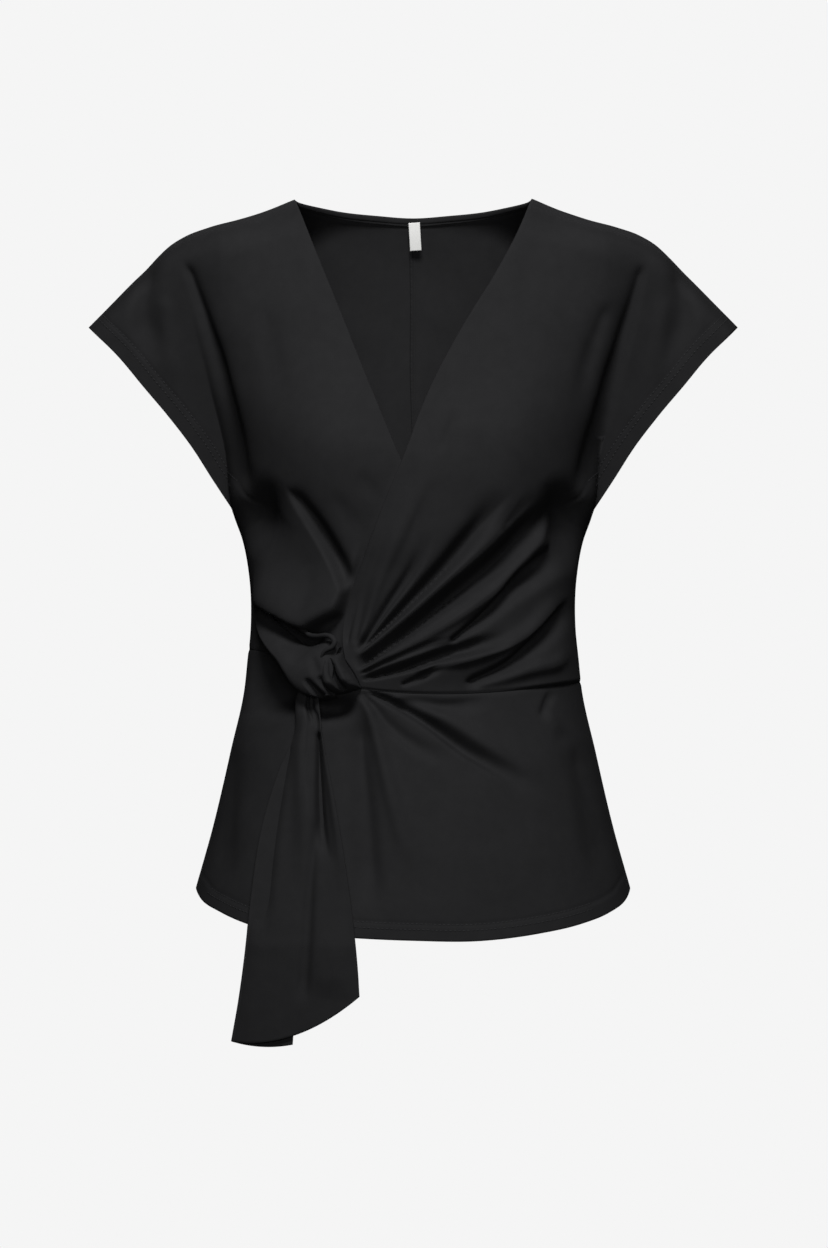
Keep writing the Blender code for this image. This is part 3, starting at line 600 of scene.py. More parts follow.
# %% Seams, hems and the pull of the knot
WALL = 1.0                # jersey is thinner, and this is as thin as keeps its two faces apart
FACE = 1.6                # the outer face, from the form: where the CAD wall's outer face is
SEAM_DIP, SEAM_DIP_WIDE = 0.8, 1.5
HEM_DEEP, CUFF_DEEP = 13.0, 15.0      # from the edge up to the first row of stitches
HEM_FULL, HEM_EASE = 0.35, 3.0        # how much fuller the doubled cloth is, and how softly
HEM_SUNK, HEM_SUNK_WIDE = 0.5, 1.4    # how far the stitches sink in, and over what width
RIM_SHALLOW, RIM_SOFT = 5.0, 50.0     # folds begin where the form is this deep, and how softly
TIE_SHALLOW, TIE_SOFT = 6.0, 30.0     # the same for the hollow that the tie makes
KNOT = Point(-50, -377)
KNOT_LIFT, KNOT_REACH = 7.0, 38.0
TIE_HOLLOW = [Crease([(-142, -318), (-120, -345), (-104, -368), (-90, -392), (-84, -410)],
                     6.0, 9.0, 26.0, 34.0, -20.0, -22.0, 0.25),
              Crease([(-92, -396), (-76, -401), (-56, -401), (-40, -395)],
                     5.0, 5.0, 9.0, 9.0, -16.0, -15.0, 0.4)]


def off_rim(out):
    """0 near the side seams, where the form is shallow, and 1 over its middle."""
    return ease((out - RIM_SHALLOW) / RIM_SOFT)


def reach_from_knot(flat):
    return np.hypot(flat[..., 0] - KNOT.x, flat[..., 1] - KNOT.z)


def knot_lift(flat):
    """The cloth stands out towards the knot."""
    return KNOT_LIFT * np.exp(-((reach_from_knot(flat) / KNOT_REACH) ** 2))


def tie_pull(flat, out):
    """The knot lifts the cloth, and the cloth beside and below the tie is drawn in."""
    drawn_in = crease_height(flat, TIE_HOLLOW) * ease((out - TIE_SHALLOW) / TIE_SOFT)
    return knot_lift(flat) + drawn_in


def seam_dip(gap):
    return -SEAM_DIP * np.exp(-((gap / SEAM_DIP_WIDE) ** 2))


def hem_dip(gap, deep):
    """The line of stitches sinks in, and the doubled cloth below it is a little fuller."""
    fuller = HEM_FULL * ease((deep - gap) / HEM_EASE)
    return fuller - HEM_SUNK * np.exp(-(((gap - deep) / HEM_SUNK_WIDE) ** 2))


print("height at the hem's stitches and 9 mm below, mm:",
      [round(float(hem_dip(gap, HEM_DEEP)), 2) for gap in (HEM_DEEP, HEM_DEEP - 9)])

# %% [markdown]
# ## From a flat patch to a panel
# A pattern piece is a patch between four edge lines. A Coons patch fills it: it blends each pair
# of facing edges across, so the grid follows all four. The grid is then carried onto the form,
# folded, and given its wall.

# %% Panel
RIM_REACH = 2.5           # how far inside a sewn edge the form's direction is read
GIRTH_STEPS = 24


def coons(bottom, top, left, right, v):
    """A flat patch between four edges; bottom and top run along u, left and right up v."""
    u = np.linspace(0, 1, len(bottom))[:, None, None]
    v = np.asarray(v)[None, :, None]
    ruled_u = (1 - u) * left[None] + u * right[None]
    ruled_v = (1 - v) * bottom[:, None] + v * top[:, None]
    corners = ((1 - u) * (1 - v) * bottom[0] + u * (1 - v) * bottom[-1]
               + (1 - u) * v * top[0] + u * v * top[-1])
    return ruled_u + ruled_v - corners


def round_body(flat, front):
    """Lengths along the cloth: the way round the form from its middle, and the height."""
    x, z = flat[..., 0], flat[..., 1]
    steps = shares(GIRTH_STEPS)[:, None, None]
    xs = x[None] * steps
    ys = depth(xs, np.broadcast_to(z, xs.shape), front)
    girth = np.hypot(np.diff(xs, axis=0), np.diff(ys, axis=0)).sum(axis=0)
    return np.stack([np.sign(x) * girth, z], axis=-1)


def panel(name, flat, front, height, rims):
    """A cloth panel: the flat patch carried to the form and folded, with its wall.

    rims pairs each stretch of edge that is sewn to the other side of the top with the
    line of points just inside it: there the edge lies in the plane of the side seams.
    """
    points, normal = form(flat, front)
    for rim, inside in rims:
        inwards = flat[inside] - flat[rim]
        inwards = inwards * RIM_REACH / np.linalg.norm(inwards, axis=-1, keepdims=True)
        _, outwards = form(flat[rim] + inwards, front)
        outwards[..., 1] = 0
        normal[rim] = outwards / np.linalg.norm(outwards, axis=-1, keepdims=True)
        points[rim + (1,)] = -SEAM / 2 if front else SEAM / 2
    out = np.abs(points[..., 1])
    far = points + normal * (height(flat, out) + FACE)[..., None]
    return shell(name, far - normal * WALL, far, round_body(flat, front), black_jersey)


half_waist = round_body(np.array([[WAIST[-1]]]), True)[0, 0, 0]
print("from the middle round to the side seam at the waist, mm:", round(float(half_waist)))

# %% [markdown]
# ## The over-wrap
# The wearer's left front lies on top. It runs from the shoulder down over the bust and
# is gathered hard into the knot, so its grid is a fan: its columns start at the knot's face and
# spread out to the side seam, the cuff and the shoulder. Pleats that start at the knot then get
# many columns where they are narrow.

# %% Over-wrap folds
OVER_WRAP_CREASES = [
    # troughs that run from the knot up to the bust, with the deepest part at their lower side
    Crease([(-41, -359), (-19, -323.5), (-1, -296), (17, -258)], 1.6, 6.0, 0.8, 3.5, -3.5, -6.0, 0.55),
    Crease([(-40, -360), (-6, -325), (35, -282), (76, -229)], 2.8, 10.0, 0.8, 3.0, -8.0, -12.0, 0.4),
    Crease([(-42, -373.5), (-8, -348), (32, -317.5), (72, -287.5), (119, -244)],
           4.6, 14.0, 1.2, 4.0, -11.0, -17.0, 0.22),
    Crease([(26, -353), (55, -329), (80, -305), (104, -289), (124, -272)],
           2.0, 5.5, 2.5, 9.0, -7.0, -12.0, 0.35),
    Crease([(-40, -377.5), (-10, -363), (18, -352), (44, -348)], 1.1, 3.0, 0.9, 3.0, -2.6, -2.4, 0.5),
    Crease([(-39, -381.5), (-10, -374), (21, -363.5), (52, -355), (80, -350)],
           3.2, 7.5, 1.0, 3.5, -9.0, -12.0, 0.4),
    Crease([(-10, -386), (6, -379), (20, -371), (38, -366)], 1.5, 3.5, 1.5, 4.0, -3.0, -4.5, 0.5),
    Crease([(38, -385), (74, -367.5), (97, -347), (119, -325), (128, -316)],
           2.0, 4.5, 4.0, 9.0, -7.0, -11.0, 0.3),
    # rounded cloth between them
    Crease([(-43, -365), (-10, -336), (21, -306), (60, -269), (93, -234)],
           2.0, 5.0, 2.4, 7.0, 2.5, 3.5, 0.35),
    Crease([(-25, -366), (18, -341), (50, -318), (80, -294), (112, -254)],
           2.0, 5.0, 3.0, 7.0, 1.5, 4.0, 0.3),
    Crease([(0, -375), (52, -362), (84, -346), (105, -325), (122, -313)],
           4.0, 6.0, 3.0, 4.0, 3.0, 5.0, 0.3),
    Crease([(46, -386), (92, -373), (110, -368), (125, -352)], 4.0, 5.5, 4.0, 5.5, 2.5, 4.5, 0.35),
    # long soft swells up the free edge
    Crease([(-48.3, -353), (-45.9, -338), (-42.8, -319), (-38, -297)],
           1.2, 2.2, 1.2, 2.2, -1.5, -1.2, 0.5),
    Crease([(-43, -354), (-39, -338), (-35, -319), (-30, -297)], 1.6, 3.0, 1.6, 3.0, -1.0, -0.9, 0.6),
    Crease([(-44, -358), (-43, -319), (-32, -272), (-14, -222)], 2.5, 8.0, 2.5, 8.0, 1.0, 1.8, 0.5),
    Crease([(-40, -355), (-30, -311), (-14, -265), (11, -214)], 2.5, 8.0, 2.5, 8.0, 1.0, 1.8, 0.5),
    Crease([(-39, -352), (-22, -296), (-2, -249), (32, -188)], 2.5, 9.0, 2.5, 7.0, 1.5, 2.0, 0.5),
    Crease([(20, -207), (31, -184), (39, -164)], 4.0, 3.5, 3.0, 2.0, -1.2, -1.4, 0.6),
    Crease([(66, -264), (80, -249), (94, -234)], 3.0, 4.0, 3.0, 4.0, -1.2, -1.4, 0.5),
    # the hollow between the two lower folds
    Crease([(58, -322), (88, -302), (116, -284)], 16.0, 18.0, 5.0, 7.0, -6.0, -8.0, 0.3),
    # the shaded side below the bust
    Crease([(100, -222), (122, -252), (128, -300)], 12.0, 12.0, 16.0, 20.0, -16.0, -18.0, 0.4),
    # the drag lines of the cap sleeve, from its top down to the underarm
    Crease([(181, -54), (167, -110), (153, -165), (139, -222), (137, -240)],
           2.0, 4.0, 4.0, 10.0, -4.0, -8.0, 0.12),
    Crease([(153, -84), (140, -123), (132, -155), (130, -178)], 4.0, 4.0, 6.0, 7.0, -2.5, -3.0, 0.5),
    Crease([(206, -48), (214, -92), (203, -136)], 6.0, 8.0, 9.0, 10.0, -5.0, -6.0, 0.4),
    Crease([(198, -78), (190, -140), (182, -170)], 5.0, 6.0, 5.0, 6.0, 1.5, 1.8, 0.5),
]
BLOUSE, BLOUSE_LOW = 3.4, 0.5    # how far the bodice rolls over the seam, at most and at least
BLOUSE_FROM, BLOUSE_FADE = 66.0, 40.0      # it grows from this x on, and over this width
BLOUSE_TURN, BLOUSE_HIGH = 2.2, 20.0       # how sharply it turns in, and how far up it reaches
FULLNESS, FULL_REACH, FULL_START = 9.0, 185.0, 1.3    # gathered cloth is full near the knot
FULL_WAIST, FULL_AT_WAIST = 34.0, 0.08     # less so within this reach of the waist seam
FULL_EDGE, FULL_AT_EDGE = 26.0, 0.4        # and within this reach of the free edge
SEAM_SOFT, EDGE_SOFT, EDGE_KEPT = 7.0, 5.0, 0.3       # folds die away at seam and free edge
EDGE_LIFT, EDGE_LIFT_WIDE = 0.9, 30.0      # the free edge stands up a little


def cuff_gap(flat):
    return nearest(np.abs(flat) * np.array([1, -1]), CUFF_LINE)[0]


def blouse(flat, gap):
    """The bodice rolls over the waist seam, most at the wearer's left."""
    roll = BLOUSE_LOW + (BLOUSE - BLOUSE_LOW) * ease((flat[..., 0] - BLOUSE_FROM) / BLOUSE_FADE)
    return roll * ease(gap / BLOUSE_TURN) * np.exp(-gap / BLOUSE_HIGH)


def over_wrap_height(flat, out):
    edge, _, _ = nearest(flat, WRAP_LINE)
    waist, _, _ = nearest(flat, WAIST_LINE)
    fullness = FULLNESS * ease(FULL_START - reach_from_knot(flat) / FULL_REACH)
    away = off_rim(out)
    folds = crease_height(flat, OVER_WRAP_CREASES) + SWELL * uneven(flat, SWELL_SIZE["over"])
    full = (fullness * ease(waist / FULL_WAIST + FULL_AT_WAIST)
            * (FULL_AT_EDGE + (1 - FULL_AT_EDGE) * ease(edge / FULL_EDGE)))
    kept = ease(waist / SEAM_SOFT) * ease(edge / EDGE_SOFT + EDGE_KEPT) * away
    cuff = hem_dip(cuff_gap(flat), CUFF_DEEP) * away
    return (knot_lift(flat) + full * away + folds * kept + blouse(flat, waist) * away + cuff
            + EDGE_LIFT * ease(1 - edge / EDGE_LIFT_WIDE) * away + seam_dip(waist) + seam_dip(out))


bust = np.array([[BUST_X, BUST_Z]])
print("cloth over the bust stands off the form by, mm:",
      over_wrap_height(bust, depth(bust[:, 0], bust[:, 1], True)).round(1))

# %% [markdown]
# ## Cutting the over-wrap
# The fan's four edges are the knot's face, the waist seam, the free edge, and one long rim of side
# seam, cuff and shoulder. The two stretches of rim that are sewn to the back are named, so that
# they end exactly in the plane of the seams.

# %% Over-wrap
def front_left():
    side_steps, cuff_steps, shoulder_steps = 90, 58, 84
    side = side_line(WAIST[-1].z + SEAM / 2, UNDERARM_Z, side_steps)
    rim = joined(side, along(CUFF[::-1], shares(cuff_steps)),
                 along(SHOULDER[::-1], shares(shoulder_steps)))
    v = shares(150, 0.25)
    face = along(KNOT_FACE, np.linspace(0, 1, len(rim)))
    low = [KNOT_FACE[0]] + [row for row in WAIST if row.x > KNOT_FACE[0].x]
    waist = along(low, v)
    waist[1:, 1] += SEAM / 2
    edge = along(WRAP[::-1], v)
    side_end, shoulder_start = side_steps + 1, side_steps + cuff_steps
    sewn = [(np.s_[:side_end, -1], np.s_[:side_end, -2]),
            (np.s_[shoulder_start:, -1], np.s_[shoulder_start:, -2])]
    return panel("front_left", coons(face, rim, waist, edge, v), True, over_wrap_height, sewn)


front_left_piece = front_left()

# %% [markdown]
# ## The under-wrap
# The wearer's right front passes below the over-wrap and is sewn into the waist seam out of
# sight. Where it is covered it follows the over-wrap's own folds, a little further in, as two
# layers of soft cloth do. At the side it bellies out over the tie, which pulls it in.

# %% Under-wrap folds
UNDER_WRAP_CREASES = [
    Crease([(-98, -231), (-76, -264), (-57, -293), (-46, -310)], 6.0, 8.0, 1.6, 1.6, -6.0, -12.0, 0.1),
    Crease([(-45, -219), (-35, -230), (-24, -245)], 5.0, 5.0, 5.0, 5.0, -0.8, -0.9, 0.5),
    Crease([(-64, -234), (-50, -253), (-35, -276)], 6.0, 6.0, 6.0, 6.0, -1.0, -1.2, 0.5),
    # the deep fold under the belly of cloth
    Crease([(-121, -323), (-107, -335), (-94, -344), (-80, -350), (-62, -354)],
           5.0, 8.0, 4.0, 6.0, -9.0, -12.0, 0.25),
    Crease([(-80, -344), (-68, -337), (-58, -331), (-47, -326)], 4.0, 4.5, 3.0, 3.0, -4.0, -5.5, 0.1),
    # the shaded side below the bust
    Crease([(-102, -222), (-122, -248), (-127, -286)], 16.0, 20.0, 12.0, 12.0, -16.0, -17.0, 0.4),
    Crease([(-178, -53), (-163, -102), (-148, -162), (-139, -216), (-137, -240)],
           4.0, 10.0, 2.0, 4.0, -4.0, -8.0, 0.12),
    Crease([(-116, -84), (-111, -116), (-105, -148), (-101, -174)], 8.0, 8.0, 8.0, 8.0, -1.4, -1.6, 0.5),
    Crease([(-204, -46), (-213, -94), (-203, -134)], 9.0, 10.0, 6.0, 8.0, -5.0, -6.0, 0.4),
    Crease([(-196, -78), (-190, -142), (-184, -168)], 5.0, 6.0, 5.0, 6.0, 1.5, 1.8, 0.5),
]
BELLY = [Point(-128, -315), Point(-119, -319), Point(-108, -324), Point(-96, -330.5),
         Point(-86, -337), Point(-78, -339), Point(-69, -334), Point(-60, -329), Point(-46, -323)]
BELLY_OUT, BELLY_ABOVE, BELLY_BELOW = 19.0, 33.0, 4.5
BELLY_FROM, BELLY_FADE = -134.0, 26.0      # it grows from the side seam on, over this width
UNDER_SEAM_SOFT = 5.0     # folds die away this near to the waist seam
LAP = 1.5                 # from the over-wrap's face in to the under-wrap's, where they lap
LAP_KEPT, LAP_SOFT = 0.15, 9.0       # and the under-wrap's own folds die away there
TUCK_BEFORE, TUCK_WIDE, TUCK_DIP = 5.0, 9.0, 0.6      # where and how it goes in below


def belly_height(flat):
    """The cloth above the tie swells out to a line and turns sharply in below it."""
    line = columns(BELLY)
    above = flat[..., 1] - read(line[:, 0], line[:, 1], flat[..., 0])[..., 0]
    swell = np.exp(-((above / np.where(above > 0, BELLY_ABOVE, BELLY_BELOW)) ** 2))
    return BELLY_OUT * swell * ease((flat[..., 0] - BELLY_FROM) / BELLY_FADE)


def past_wrap(flat):
    """Distance beyond the over-wrap's free edge: positive where the over-wrap covers."""
    gap, _, side = nearest(flat, WRAP_LINE)
    return np.where(side < 0, gap, -gap)


def under_wrap_height(flat, out):
    past = past_wrap(flat)
    waist, _, _ = nearest(flat, WAIST_LINE)
    away = off_rim(out)
    folds = (crease_height(flat, UNDER_WRAP_CREASES) + belly_height(flat)
             + SWELL * uneven(flat, SWELL_SIZE["under"]))
    kept = ease(waist / UNDER_SEAM_SOFT) * ease(LAP_KEPT - past / LAP_SOFT) * away
    cuff = hem_dip(cuff_gap(flat), CUFF_DEEP) * away
    shown = tie_pull(flat, out) + folds * kept + cuff + seam_dip(waist) + seam_dip(out)
    tucked = ease((past + TUCK_BEFORE) / TUCK_WIDE)
    below = over_wrap_height(flat, out) - LAP
    return shown * (1 - tucked) + below * tucked - TUCK_DIP * tucked * (1 - tucked)


above_tie = np.array([[BELLY[4].x, BELLY[4].z]])
print("the belly stands out above the tie by, mm:", belly_height(above_tie).round(1))

# %% [markdown]
# ## Cutting the under-wrap
# This piece has no gathers, so its grid is plain: across from the side seam to the wrap edge, and
# up from the waist to the shoulder.

# %% Under-wrap
def front_right():
    side_steps, cuff_steps = 60, 70
    side = side_line(WAIST[0].z + SEAM / 2, UNDERARM_Z, side_steps)
    outer = joined(side, along(CUFF[::-1], shares(cuff_steps))) * np.array([-1, 1])
    v = shares(len(outer) - 1)
    inner = along(UNDER_WRAP[::-1], v)
    u = shares(150) ** 1.15
    low = [row for row in WAIST if row.x < UNDER_WRAP[-1].x] + [UNDER_WRAP[-1]]
    bottom = along(low, u)
    bottom[:, 1] += SEAM / 2
    inner[0, 1] += SEAM / 2
    top = along(mirrored(SHOULDER)[::-1], u)
    side_end = side_steps + 1
    sewn = [(np.s_[0, :side_end], np.s_[1, :side_end]), (np.s_[:, -1], np.s_[:, -2])]
    return panel("front_right", coons(bottom, top, outer, inner, v), True,
                 under_wrap_height, sewn)


front_right_piece = front_right()

# %% [markdown]
# ## The skirt of the top
# Below the waist seam the cloth flares out to the hem. The knot drags it into folds that fan out
# and fade, the sharpest one running down to the wearer's left.

# %% Skirt folds
SKIRT_CREASES = [
    Crease([(-38, -388), (6, -412), (44, -438.5), (80, -459), (105, -475)],
           3.0, 7.5, 1.2, 4.0, -8.0, -9.0, 0.55),
    Crease([(-20, -391), (22, -410), (64, -436), (112, -462)], 3.5, 8.0, 3.0, 6.0, 2.5, 3.5, 0.5),
    Crease([(-37, -393), (-18, -417), (13, -438.5), (40, -446.5)], 3.5, 7.0, 2.0, 4.5, -3.5, -3.5, 0.5),
    Crease([(-40, -405), (-40, -435), (-37, -474), (-35, -512), (-31, -569)],
           5.0, 9.0, 9.0, 14.0, -6.0, -7.0, 0.3),
    Crease([(-37, -393), (-24, -443), (-10, -497), (5, -540)], 3.0, 10.0, 3.0, 6.0, 3.0, 4.0, 0.5),
    Crease([(-39.6, -389), (-35, -397), (-29.5, -406)], 1.4, 2.0, 1.4, 2.0, -3.0, -2.6, 0.5),
    Crease([(-14, -396), (25, -401.5), (66, -397)], 3.5, 4.0, 5.0, 5.0, -4.5, -4.0, 0.5),
    Crease([(99, -413), (104, -400), (110, -388)], 2.5, 2.5, 3.0, 3.0, -2.0, -2.2, 0.4),
    Crease([(101, -406), (108, -416), (116, -428)], 4.0, 5.0, 4.0, 5.0, 2.0, 2.0, 0.5),
    Crease([(-142, -430), (-146, -492), (-151, -548)], 7.0, 10.0, 7.0, 10.0, -3.0, -3.4, 0.3),
    Crease([(126, -430), (139, -491), (149, -545)], 8.0, 11.0, 8.0, 11.0, -3.0, -3.4, 0.3),
    Crease([(40, -440), (52, -500), (62, -560)], 14.0, 20.0, 14.0, 20.0, 1.4, 1.8, 0.4),
]
SKIRT_SEAM_SOFT = 4.0     # its folds start this near to the waist seam


def skirt_height(flat, out):
    waist, _, _ = nearest(flat, WAIST_LINE)
    hem, _, _ = nearest(flat, HEM_LINE)
    away = off_rim(out)
    folds = crease_height(flat, SKIRT_CREASES) + SKIRT_SWELL * uneven(flat, SWELL_SIZE["skirt"])
    return (tie_pull(flat, out) + folds * ease(waist / SKIRT_SEAM_SOFT) * away
            + hem_dip(hem, HEM_DEEP) * away + seam_dip(waist) + seam_dip(out))


long_fold = columns(SKIRT_CREASES[0].path)
print("depth along the skirt's sharpest fold, mm:", crease_height(long_fold, SKIRT_CREASES).round(1))

# %% [markdown]
# ## Cutting the skirt
# Its grid runs across between the side seams and down from the waist to the hem. Close to each
# side seam the waist edge is made straight, so that the grid meets the seam without a fold.

# %% Skirt
def peplum_front():
    down_steps, straight = 116, 9
    u = shares(250, 0.55)
    v = shares(down_steps)
    top = along(WAIST, u) - np.array([0, SEAM / 2])
    bottom = along(HEM, u)
    left = side_line(HEM[0].z, top[0, 1], down_steps) * np.array([-1, 1])
    right = side_line(HEM[-1].z, top[-1, 1], down_steps)
    top[0], top[-1], bottom[0], bottom[-1] = left[-1], right[-1], left[0], right[0]
    near_side = np.linspace(0, 1, straight)[:, None]
    top[:straight] = left[-1] + near_side * (top[straight - 1] - left[-1])
    top[-straight:] = right[-1] + near_side[::-1] * (top[-straight] - right[-1])
    sewn = [(np.s_[0, :], np.s_[1, :]), (np.s_[-1, :], np.s_[-2, :])]
    return panel("peplum_front", coons(bottom, top, left, right, v), True, skirt_height, sewn)


peplum_front_piece = peplum_front()

# %% [markdown]
# ## The backs
# Two long back pieces are sewn together down the middle. The picture shows only their inside,
# through the V. Their outside is finished plainly, with the soft drag lines that such a top has
# below the shoulder blades, at the waist and towards the hem.

# %% Folds of the backs
BACK_CREASES = [
    Crease([(181, -54), (166, -112), (152, -170), (141, -222), (138, -240)],
           2.5, 4.0, 4.0, 9.0, -3.5, -6.5, 0.15),
    Crease([(34, -340), (66, -322), (104, -292), (140, -262)], 9.0, 6.0, 9.0, 6.0, 3.5, 4.5, 0.4),
    Crease([(30, -352), (64, -338), (100, -314), (136, -284)], 6.0, 5.0, 8.0, 6.0, -3.5, -4.5, 0.4),
    Crease([(60, -364), (104, -350), (134, -330)], 7.0, 5.0, 7.0, 5.0, 2.5, 3.0, 0.5),
    Crease([(66, -376), (104, -366), (132, -352)], 5.0, 4.0, 7.0, 6.0, -2.5, -3.5, 0.5),
    Crease([(66, -392), (78, -460), (90, -566)], 8.0, 14.0, 8.0, 14.0, 2.0, 4.0, 0.2),
    Crease([(112, -404), (124, -470), (136, -556)], 8.0, 12.0, 8.0, 12.0, -2.4, -4.0, 0.2),
    Crease([(24, -420), (28, -490), (34, -560)], 8.0, 12.0, 8.0, 12.0, -1.4, -3.0, 0.2),
    Crease([(84, -64), (76, -120), (60, -170)], 14.0, 16.0, 14.0, 16.0, 1.5, 1.8, 0.5),
]
CENTRE_SOFT = 10.0        # they die away this near to the seam down the middle


def back_height(flat, out):
    right_way = flat * np.array([1.0 if flat[..., 0].mean() > 0 else -1.0, 1.0])
    hem, _, _ = nearest(right_way, BACK_HEM_LINE)
    away = off_rim(out)
    folds = crease_height(right_way, BACK_CREASES) * ease(np.abs(flat[..., 0]) / CENTRE_SOFT)
    cuff = hem_dip(cuff_gap(flat), CUFF_DEEP)
    return ((folds + hem_dip(hem, HEM_DEEP) + cuff + SWELL * uneven(flat, SWELL_SIZE["back"])) * away
            + seam_dip(flat[..., 0]) + seam_dip(out))


back_waist = columns(BACK_CREASES[1].path)
print("height of the fold at the back waist, mm:", crease_height(back_waist, BACK_CREASES).round(1))

# %% [markdown]
# ## Cutting the backs
# Each back starts where the neck binding ends, 6.5 mm down over the rounded shoulder, so a small
# function measures that way over the surface. Both backs come from one function with a side.

# %% Backs
BINDING_HIGH = 6.5
NECK_STEPS = 40           # from the middle of the back neck to the high neck point
DROP_STEPS = 120          # fine steps down the back, in which the way is measured


def below_neck(reach, count):
    """The line that lies this far down the back from the neck edge, over the surface."""
    edge = along(BACK_NECK, shares(count))
    drop = np.linspace(0, 2 * BINDING_HIGH, DROP_STEPS)
    line = edge.copy()
    for point in line:
        z = point[1] - drop
        out = depth(np.full_like(z, point[0]), z, False)
        length = np.concatenate([[0], np.cumsum(np.hypot(np.diff(out), np.diff(z)))])
        point[1] -= np.interp(reach, length, drop)
    return line


def back(side):
    sign = 1 if side == "left" else -1
    side_steps, cuff_steps, shoulder_steps = 80, 46, 60
    outer = joined(side_line(BACK_HEM[-1].z, UNDERARM_Z, side_steps),
                   along(CUFF[::-1], shares(cuff_steps)))
    v = shares(len(outer) - 1)
    neck = below_neck(BINDING_HIGH, NECK_STEPS * 2)[NECK_STEPS:]
    neck[0, 0] = SEAM / 2
    top = np.vstack([neck, along(SHOULDER, shares(shoulder_steps))[1:]])
    side_end, shoulder = side_steps + 1, len(neck) - 1
    u = np.linspace(0, 1, len(top))
    bottom = along(BACK_HEM, u)
    bottom[0, 0] = SEAM / 2
    bottom[-1] = outer[0]
    inner = bottom[0] + v[:, None] * (top[0] - bottom[0])
    flat = coons(bottom, top, inner, outer, v) * np.array([sign, 1])
    sewn = [(np.s_[-1, :side_end], np.s_[-2, :side_end]),
            (np.s_[shoulder:, -1], np.s_[shoulder:, -2])]
    return panel("back_" + side, flat, False, back_height, sewn)


back_left_piece = back("left")
back_right_piece = back("right")

# %% [markdown]
# ## Back neck binding
# The back neck edge is bound with a narrow strip that is folded over it and stitched down. From
# the front its inside shows above the back's inside as a rounded band with a sunk line of
# stitches, so both faces of this shell are rounded.

# %% Back neck binding
BINDING_WALL = 2.2
BINDING_PROUD = 1.0       # how much further the binding stands out on the inside
BINDING_ROUND = 0.2       # share of its height over which its top rounds over
LINE_AT, LINE_WIDE, LINE_SUNK = 0.72, 0.07, 0.4      # its line of stitches, as shares, and mm


def back_neck_binding():
    down = shares(14)
    rows = [below_neck(BINDING_HIGH * share, NECK_STEPS * 2) for share in down]
    flat = np.stack(rows, axis=1)
    points, normal = form(flat, False)
    round_over = np.sqrt(1 - np.clip(1 - down / BINDING_ROUND, 0, 1) ** 2) * 0.5 + 0.5
    sunk = LINE_SUNK * np.exp(-(((down - LINE_AT) / LINE_WIDE) ** 2))
    half = (BINDING_WALL / 2 * round_over - sunk)[None, :, None]
    inner = half + (BINDING_PROUD * ease(down / 0.5))[None, :, None]
    middle = points + normal * (FACE - WALL / 2)
    return shell("back_neck_binding", middle - normal * inner, middle + normal * half,
                 flat, black_jersey)


binding_piece = back_neck_binding()

# %% [markdown]
# ## Centre back seam allowance
# Inside the back the seam's two edges are overlocked together and pressed to one side. Through
# the V they show as a thin ribbed strip that runs down from the label.

# %% Centre back seam allowance
ALLOWANCE_RIGHT, ALLOWANCE_LEFT = 2.2, -2.4    # its two edges, from the middle of the back
ALLOWANCE_THICK, ALLOWANCE_FADE = 1.0, 1.2     # how far it stands up, and how soft its edges
THINNEST = 0.1
FURROW_AT, FURROW_WIDE, FURROW_DEEP = 0.9, 0.75, 2.6     # the sharp line of the seam itself
ALLOWANCE_TOP, ALLOWANCE_LOW = -14.0, -560.0
OVERLOCK_PITCH = 3.2      # from one overlock loop to the next, drawn a little coarse
OVERLOCK_HIGH = 0.12
DRIFT_FADE = 5.0          # it wanders from side to side, but not at its right edge
SEWN_IN = 0.6             # how deep the allowance sits in the back's wall, which is 1.0 thick


def seam_allowance():
    z = np.linspace(ALLOWANCE_TOP, ALLOWANCE_LOW, 680)
    place = np.linspace(ALLOWANCE_RIGHT, ALLOWANCE_LEFT, 34)[:, None]
    drift = 0.7 * np.sin(z / 46) + 0.4 * np.sin(z / 17)
    x = place + drift * ease((ALLOWANCE_RIGHT - place) / DRIFT_FADE)
    flat = np.stack([x, np.broadcast_to(z, x.shape)], axis=-1)
    points, normal = form(flat, False)
    height = back_height(flat, np.abs(points[..., 1])) - seam_dip(x)
    from_edge = np.minimum(ALLOWANCE_RIGHT - place, place - ALLOWANCE_LEFT)
    stand = ALLOWANCE_THICK * ease(from_edge / ALLOWANCE_FADE)
    furrow = FURROW_DEEP * np.clip(1 - np.abs(place - FURROW_AT) / FURROW_WIDE, 0, 1)
    turn = 2 * math.pi * z / OVERLOCK_PITCH
    loops = OVERLOCK_HIGH * (1 + np.sin(turn) + 0.7 * np.sin(0.37 * turn)) * ease(-place)
    thick = np.maximum(SEWN_IN + stand - furrow + loops * ease(from_edge), THINNEST)
    face = points + normal * (height + FACE - WALL + SEWN_IN)[..., None]
    front = face - normal * thick[..., None]
    return shell("centre_back_seam_allowance", front, face, flat, black_jersey)


allowance_piece = seam_allowance()

# %% [markdown]
# ## The tie band
# From the side seam a band of cloth is drawn across to the knot. It is narrow and flat at the
# side, and full and rounded where it turns into the knot. Its cross-section is worked out from a
# table of its two edges and of how far it stands off the cloth behind.

